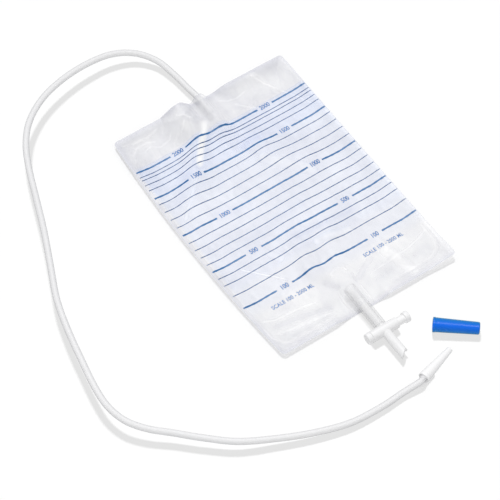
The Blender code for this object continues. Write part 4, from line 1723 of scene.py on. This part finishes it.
@dataclass
class InletTube:
    """Long tube from the sleeve, round on the table and into the connector."""

    connector: CatheterConnector
    radius: float = 0.0032
    mouth_y: float = 0.1490
    inside: float = 0.0250
    height: float = 0.0056
    rings: int = 900
    sides: int = 28
    route: tuple[Point, ...] = (
        (-0.0017, 0.1638, 0.0056),
        (-0.0041, 0.1866, 0.0061),
        (-0.0097, 0.2094, 0.0078),
        (-0.0242, 0.2279, 0.0104),
        (-0.0462, 0.2380, 0.0130),
        (-0.0744, 0.2395, 0.0151),
        (-0.1046, 0.2350, 0.0168),
        (-0.1335, 0.2247, 0.0182),
        (-0.1586, 0.2074, 0.0192),
        (-0.1761, 0.1854, 0.0196),
        (-0.1889, 0.1587, 0.0196),
        (-0.2015, 0.1244, 0.0196),
        (-0.2152, 0.0873, 0.0196),
        (-0.2304, 0.0508, 0.0196),
        (-0.2457, 0.0141, 0.0198),
        (-0.2552, -0.0215, 0.0200),
        (-0.2619, -0.0565, 0.0199),
        (-0.2666, -0.0855, 0.0192),
        (-0.2675, -0.1089, 0.0178),
        (-0.2619, -0.1296, 0.0158),
        (-0.2493, -0.1470, 0.0137),
        (-0.2319, -0.1630, 0.0123),
        (-0.2121, -0.1821, 0.0115),
        (-0.1877, -0.2024, 0.0103),
        (-0.1566, -0.2183, 0.0080),
        (-0.1243, -0.2319, 0.0066),
        (-0.0904, -0.2415, 0.0053),
        (-0.0570, -0.2434, 0.0045),
        (-0.0328, -0.2422, 0.0044),
    )

    def centreline(self) -> Array:
        """Smooth line from inside the sleeve to inside the connector's socket.

        Returns:
            The line's points.
        """
        origin, direction = self.connector.axis()
        end = origin + direction * (self.connector.socket_depth - SEAT_GAP)
        before = origin - direction * self.connector.wide
        start = [(0.0, self.mouth_y - share * self.inside, self.height) for share in (1.0, 0.5, 0.0)]
        finish = [tuple(before), tuple(origin), tuple(end)]
        return smooth_route([*start, *self.route, *finish], self.rings)

    def build(self, connector: bpy.types.Object) -> None:
        """Make the tube with the connector on it.

        Args:
            connector: the connector's piece; not used.
        """
        line = self.centreline()
        shape = swept_rod(line, self.radius, self.sides)
        tube = make_piece("long_tube", shape, TUBE_FINISH.material(), Crease.ROD, Shade.SUN)
        carry(tube, Body.BAG, Slot.TUBE, "inlet_tube")


@dataclass
class InletSleeve:
    """Stiff sleeve in the top weld."""

    form: FilmForm
    bore: float = 0.0035
    length: float = 0.0340
    sides: int = 72

    def build(self) -> None:
        """Make the sleeve."""
        seat = self.form.inlet
        profile = rounded(
            [
                (self.bore, 0.0, 0.0),
                (seat.radius, 0.0, SOFT),
                (seat.radius, self.length, SOFT),
                (self.bore, self.length, 0.0),
            ],
            closed=False,
        )
        origin = (seat.x, seat.inner_y, FILM + SEAT_GAP + seat.radius)
        shape = turned(profile, self.sides, bored=False).placed(origin, ALONG)
        piece = make_piece("sleeve", shape, SLEEVE_FINISH.material(), Crease.MOULDED, Shade.NONE)
        carry(piece, Body.BAG, Slot.TUBE, "inlet_sleeve")


@dataclass
class DrainTap:
    """Outlet tube and push-pull tap: barrel across, nipple, slanted spout and plunger."""

    form: FilmForm
    from_edge: float = 0.0310
    tube_bore: float = 0.0043
    barrel_outer: float = 0.0056
    barrel_bore: float = 0.0045
    barrel_length: float = 0.0290
    nipple_length: float = 0.0395
    nipple_bore: float = 0.00275
    nipple_round: float = 0.0010
    spout_outer: float = 0.00475
    spout_bore: float = 0.00325
    spout_length: float = 0.0345
    bevel_deg: float = 38.0
    bevel_block_size: float = 4.0
    spout_flat: float = 0.0008
    cut_past: float = 0.002
    travel: float = 0.0080
    stem: float = 0.0042
    head_radius: float = 0.0056
    head_length: float = 0.0050
    head_round: float = 0.0012
    dish: float = 0.0005
    dish_rim: float = 0.0022
    waist: float = 0.0020
    waist_half: float = 0.0030
    seal_from_waist: float = 0.0041
    seal_section: float = 0.0006
    seal_clearance: float = 0.00008
    groove_room: float = 0.00015
    seal_sides: int = 16
    sides: int = 64
    rod_sides: int = 72
    bore_sides: int = 69
    waterway_sides: int = 77

    def centre(self) -> Vector:
        """Where the barrel's axis crosses the waterway."""
        seat = self.form.outlet
        return Vector((seat.x, -self.form.half_length - self.from_edge, FILM + SEAT_GAP + seat.radius))

    def build(self) -> None:
        """Make the outlet tube, the tap's body, its plunger and the seals."""
        plastic = TAP_FINISH.material()
        self.build_tube()
        self.build_body(plastic)
        self.build_plunger(plastic)

    def build_tube(self) -> None:
        """Make the outlet tube: a plain pipe with softened ends."""
        seat = self.form.outlet
        start = self.centre().y + self.barrel_outer + SEAT_GAP
        length = seat.inner_y - start
        profile = rounded(
            [
                (self.tube_bore, 0.0, CRISP),
                (seat.radius, 0.0, CRISP),
                (seat.radius, length, CRISP),
                (self.tube_bore, length, CRISP),
            ],
            closed=True,
        )
        origin = (seat.x, start, self.centre().z)
        shape = turned(profile, self.sides).placed(origin, ALONG)
        piece = make_piece("drain_tube", shape, OUTLET_FINISH.material(), Crease.MOULDED, Shade.SUN)
        carry(piece, Body.BAG, Slot.TUBE, "outlet_tube")

    def body_steps(self) -> tuple[tuple[Shape, str], ...]:
        """Solids that turn the plain barrel into the tap's body.

        Returns:
            Each solid and how it is joined: nipple, spout, barrel's bore, waterway, bevel.
        """
        centre, past = self.centre(), self.barrel_length / 2 + self.cut_past
        nipple_outer = self.tube_bore - SEAT_GAP
        nipple = rod_profile(nipple_outer, 0.0, self.nipple_length, far=self.nipple_round)
        spout = rod_profile(self.spout_outer, 0.0, self.spout_length)
        bore = rod_profile(self.barrel_bore, -past, past)
        far = self.nipple_length + self.cut_past
        near = -self.spout_length - self.spout_outer
        waterway = np.array(
            [
                (0.0, near),
                (self.spout_bore, near),
                (self.spout_bore, 0.0),
                (self.nipple_bore, 0.0),
                (self.nipple_bore, far),
                (0.0, far),
            ]
        )
        return (
            (turned(nipple, self.rod_sides).placed(centre, ALONG), "UNION"),
            (turned(spout, self.rod_sides).placed(centre, (0.0, -1.0, 0.0)), "UNION"),
            (turned(bore, self.bore_sides).placed(centre, ACROSS), "DIFFERENCE"),
            (turned(waterway, self.waterway_sides).placed(centre, ALONG), "DIFFERENCE"),
            (self.bevel_block(), "DIFFERENCE"),
        )

    def build_body(self, plastic: bpy.types.Material) -> None:
        """Join nipple and spout to the barrel, and cut its bore, the waterway and the bevel.

        Args:
            plastic: the body's material.
        """
        half = self.barrel_length / 2
        barrel = rod_profile(self.barrel_outer, -half, half, BLUNT, BLUNT)
        blank = turned(barrel, self.sides).placed(self.centre(), ACROSS)
        body = make_piece("tap_housing", blank, plastic, Crease.MOULDED, Shade.SUN)
        helpers = []
        for number, (shape, operation) in enumerate(self.body_steps()):
            helper = make_piece(f"tap_step_{number}", shape, plastic)
            helper.hide_render = True
            modifier = body.modifiers.new(helper.name, "BOOLEAN")
            modifier.operation, modifier.object, modifier.solver = operation, helper, "EXACT"
            helpers.append(helper)
        bpy.context.view_layer.update()
        evaluated = body.evaluated_get(bpy.context.evaluated_depsgraph_get())
        mesh = bpy.data.meshes.new_from_object(evaluated)
        body.modifiers.clear()
        body.data = mesh
        for helper in helpers:
            bpy.data.objects.remove(helper)
        mesh.shade_smooth()
        mesh.set_sharp_from_angle(angle=math.radians(Crease.CUT.value))
        carry(body, Body.BAG, Slot.TAP, "tap_body")

    def bevel_block(self) -> Shape:
        """Block past a slanted plane across the spout's end, long side at -X.

        Its corners are half its size away on each axis, turned by the bevel about the tip.

        Returns:
            The block.
        """
        size = self.bevel_block_size * self.spout_outer
        corner = 0.5 * size * np.array([[x, y, z] for x in (-1, 1) for y in (-1, 1) for z in (-1, 1)])
        turn = np.array(Matrix.Rotation(math.radians(self.bevel_deg), 3, "Z"))
        centre = self.centre()
        tip = (centre.x - self.spout_outer + self.spout_flat, centre.y - self.spout_length, centre.z)
        points = (corner + (0.0, -size / 2, 0.0)) @ turn.T + np.array(tip)
        faces = [[0, 1, 3, 2], [4, 6, 7, 5], [0, 4, 5, 1], [2, 3, 7, 6], [0, 2, 6, 4], [1, 5, 7, 3]]
        return Shape(points, faces)

    def seal_places(self) -> tuple[float, float, float]:
        """Middle of each seal along the plunger, from the barrel's middle."""
        reach = self.seal_from_waist
        return (reach - self.travel, self.travel - reach, self.travel + reach)

    def groove(self, floor: float, middle: float, half: float) -> list[Point]:
        """Corners of a groove round the stem.

        Args:
            floor: radius of its floor.
            middle: its middle along the plunger.
            half: half its width.

        Returns:
            The corners, all of them sharp.
        """
        start, end = middle - half, middle + half
        return [(self.stem, start, 0.0), (floor, start, 0.0), (floor, end, 0.0), (self.stem, end, 0.0)]

    def build_plunger(self, plastic: bpy.types.Material) -> None:
        """Make the plunger with its pads, waist and grooves, and the seals in them.

        Args:
            plastic: the plunger's material.
        """
        face = self.barrel_length / 2 + SEAT_GAP
        low, high = -face - self.head_length, face + self.travel + self.head_length
        seal_outer = self.barrel_bore - self.seal_clearance
        floor = seal_outer - 2.0 * self.seal_section - self.groove_room
        half = self.seal_section + self.groove_room
        first, second, third = self.seal_places()
        corners = [
            (0.0, low + self.dish, 0.0),
            (self.head_radius - self.dish_rim, low, SOFT),
            (self.head_radius, low, self.head_round),
            (self.head_radius, -face, EASED),
            (self.stem, -face, 0.0),
            *self.groove(floor, first, half),
            *self.groove(floor, second, half),
            *self.groove(self.waist, self.travel, self.waist_half),
            *self.groove(floor, third, half),
            (self.stem, high - self.head_length, KEEN),
            (self.head_radius, high - self.head_length, EASED),
            (self.head_radius, high, self.head_round),
            (self.head_radius - self.dish_rim, high, SOFT),
            (0.0, high - self.dish, 0.0),
        ]
        shape = turned(rounded(corners, closed=False), self.sides).placed(self.centre(), ACROSS)
        plunger = make_piece("push_pull_plunger", shape, plastic, Crease.MOULDED, Shade.NONE)
        carry(plunger, Body.PLUNGER, Slot.TAP, "tap_plunger")
        self.build_seals(seal_outer - self.seal_section)

    def build_seals(self, middle: float) -> None:
        """Make the seals: rings whose section is (middle + s cos a, place + s sin a).

        Args:
            middle: radius of the rings' middle line.
        """
        rubber = SEAL_FINISH.material()
        turn = np.linspace(0.0, 2.0 * math.pi, self.seal_sides, endpoint=False)
        out, on = self.seal_section * np.cos(turn), self.seal_section * np.sin(turn)
        for number, place in enumerate(self.seal_places(), start=1):
            ring = np.column_stack([middle + out, place + on])
            shape = turned(ring, self.sides).placed(self.centre(), ACROSS)
            piece = make_piece(f"ring_seal_{number}", shape, rubber, Crease.PLAIN, Shade.NONE)
            carry(piece, Body.PLUNGER, Slot.SEAL, f"plunger_seal_{number}")


@dataclass
class ConnectorCap:
    """Blue push-on cap, lying beside the connector it came off."""

    length: float = 0.0440
    mouth: float = 0.0070
    end: float = 0.0060
    wall: float = 0.0011
    rounding: float = 0.0016
    bead: float = 0.0003
    bead_length: float = 0.0022
    point: tuple[float, float] = (0.0331, -0.1996)
    heading_deg: float = -38.9
    sides: int = 80

    def build(self) -> None:
        """Make the cap, open at its mouth."""
        direction, level = lying_axis(self.mouth, self.end, self.length, self.heading_deg)
        inner_end = self.length - self.wall
        profile = rounded(
            [
                (0.0, inner_end, 0.0),
                (self.end - self.wall, inner_end, 0.5 * self.rounding),
                (self.mouth - self.wall, 0.0, SOFT),
                (self.mouth + self.bead, 0.0, SOFT),
                (self.mouth + self.bead, self.bead_length, CRISP),
                (self.mouth, self.bead_length + self.bead, KEEN),
                (self.end, self.length, self.rounding),
                (0.0, self.length, 0.0),
            ],
            closed=False,
        )
        origin = (*self.point, (self.mouth + self.bead) * level)
        shape = turned(profile, self.sides).placed(origin, direction)
        piece = make_piece("blue_cap", shape, CAP_FINISH.material(), Crease.MOULDED, Shade.SUN)
        carry(piece, Body.BAG, Slot.CAP, "connector_cap")


@dataclass
class Studio:
    """Pale floor, soft light from behind and the camera at the photograph's angle."""

    focal_px: float = 2299.7
    image_px: float = 500.0
    sensor_mm: float = 36.0
    view_end: float = 50.0
    elevation_deg: float = 55.947
    azimuth_deg: float = -34.155
    distance: float = 2.2
    target: Point = (-0.058, -0.0305, 0.0)
    floor_size: float = 12.0
    floor_colour: Colour = (0.95, 0.95, 0.95)
    floor_glow: float = 0.27
    sky: float = 0.70
    sun: float = 1.34
    sun_size_deg: float = 7.0
    sun_elevation_deg: float = 58.9
    sun_plan: tuple[float, float] = (0.414, 0.910)
    panel_watts: float = 11.5
    panel_size: tuple[float, float] = (1.2, 0.48)
    panel_place: Point = (0.25, -0.35, 1.5)
    panel_turn_deg: float = -39.0

    def back(self) -> Vector:
        """Direction from the target to the camera."""
        a, e = math.radians(self.azimuth_deg), math.radians(self.elevation_deg)
        return Vector((math.sin(a) * math.cos(e), -math.cos(a) * math.cos(e), math.sin(e)))

    def build_camera(self) -> None:
        """Make the camera: lens = focal length in pixels x sensor width / image width."""
        data = bpy.data.cameras.new("camera")
        data.sensor_width = self.sensor_mm
        data.lens = self.focal_px * data.sensor_width / self.image_px
        data.clip_end = self.view_end
        camera = bpy.data.objects.new("camera", data)
        camera.location = Vector(self.target) + self.distance * self.back()
        camera.rotation_euler = self.back().to_track_quat("Z", "Y").to_euler()
        bpy.context.scene.collection.objects.link(camera)
        bpy.context.scene.camera = camera

    def build_lights(self) -> None:
        """Make a wide sun behind the object, the gloss panel and an even white sky."""
        data = bpy.data.lights.new("sun", "SUN")
        data.energy, data.angle = self.sun, math.radians(self.sun_size_deg)
        sun = bpy.data.objects.new("sun", data)
        e = math.radians(self.sun_elevation_deg)
        x, y = self.sun_plan
        towards = Vector((x * math.cos(e), y * math.cos(e), math.sin(e)))
        sun.rotation_euler = towards.to_track_quat("Z", "Y").to_euler()
        bpy.context.scene.collection.objects.link(sun)
        self.build_panel()
        world = bpy.data.worlds.new("sky")
        world.use_nodes = True
        background = world.node_tree.nodes["Background"]
        background.inputs["Color"].default_value = WHITE
        background.inputs["Strength"].default_value = self.sky
        bpy.context.scene.world = world

    def build_panel(self) -> None:
        """Make the long soft panel overhead that only shows as a gloss line on smooth pieces."""
        data = bpy.data.lights.new("panel", "AREA")
        data.shape = "RECTANGLE"
        data.energy = self.panel_watts
        data.size, data.size_y = self.panel_size
        panel = bpy.data.objects.new("panel", data)
        panel.location = self.panel_place
        panel.rotation_euler = (0.0, 0.0, math.radians(self.panel_turn_deg))
        panel.visible_diffuse = False
        bpy.context.scene.collection.objects.link(panel)

    def build_floor(self, lowest: float) -> None:
        """Make the floor: part of it glows white to the camera, the rest takes shadows.

        Args:
            lowest: its height, just below the bag.
        """
        graph = Graph("pale_floor")
        kinds = ("Is Camera Ray", "Is Glossy Ray", "Is Transmission Ray")
        camera, gloss, through = (graph.node("ShaderNodeLightPath", output=kind) for kind in kinds)
        seen = camera.maths("MAXIMUM", camera.maths("MAXIMUM", camera, gloss), through)
        matt = graph.node("ShaderNodeBsdfDiffuse", None, {"Color": (*self.floor_colour, 1.0)})
        glow = graph.node("ShaderNodeEmission", None, {"Color": WHITE, "Strength": 1.0})
        share = seen * self.floor_glow
        mixed = graph.node("ShaderNodeMixShader", None, {0: share, 1: matt, 2: glow})
        graph.node("ShaderNodeOutputMaterial", None, {"Surface": mixed})
        half = self.floor_size / 2
        plan = ((-half, -half), (half, -half), (half, half), (-half, half))
        corners = np.array([(x, y, lowest) for x, y in plan])
        floor = make_piece("floor", Shape(corners, [[0, 1, 2, 3]]), graph.material)
        floor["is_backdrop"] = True

    def build(self, lowest: float) -> None:
        """Make the camera, the lights and the floor, and set the view transform.

        Args:
            lowest: the floor's height.
        """
        self.build_camera()
        self.build_lights()
        self.build_floor(lowest)
        bpy.context.scene.view_settings.view_transform = "Standard"


def main() -> None:
    """Build the studio and every piece of the bag."""
    logging.basicConfig(level=logging.INFO, format="%(name)s: %(message)s")
    packed = [list(corner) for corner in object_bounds()]
    Studio().build(packed[0][2] - FLOOR_GAP)
    connector = CatheterConnector()
    InletTube(connector).build(connector.build())
    form = FilmForm()
    pouch = Pouch(form)
    pouch.build()
    ScalePrint(pouch).build()
    InletSleeve(form).build()
    DrainTap(form).build()
    ConnectorCap().build()


if __name__ == "__main__":
    main()
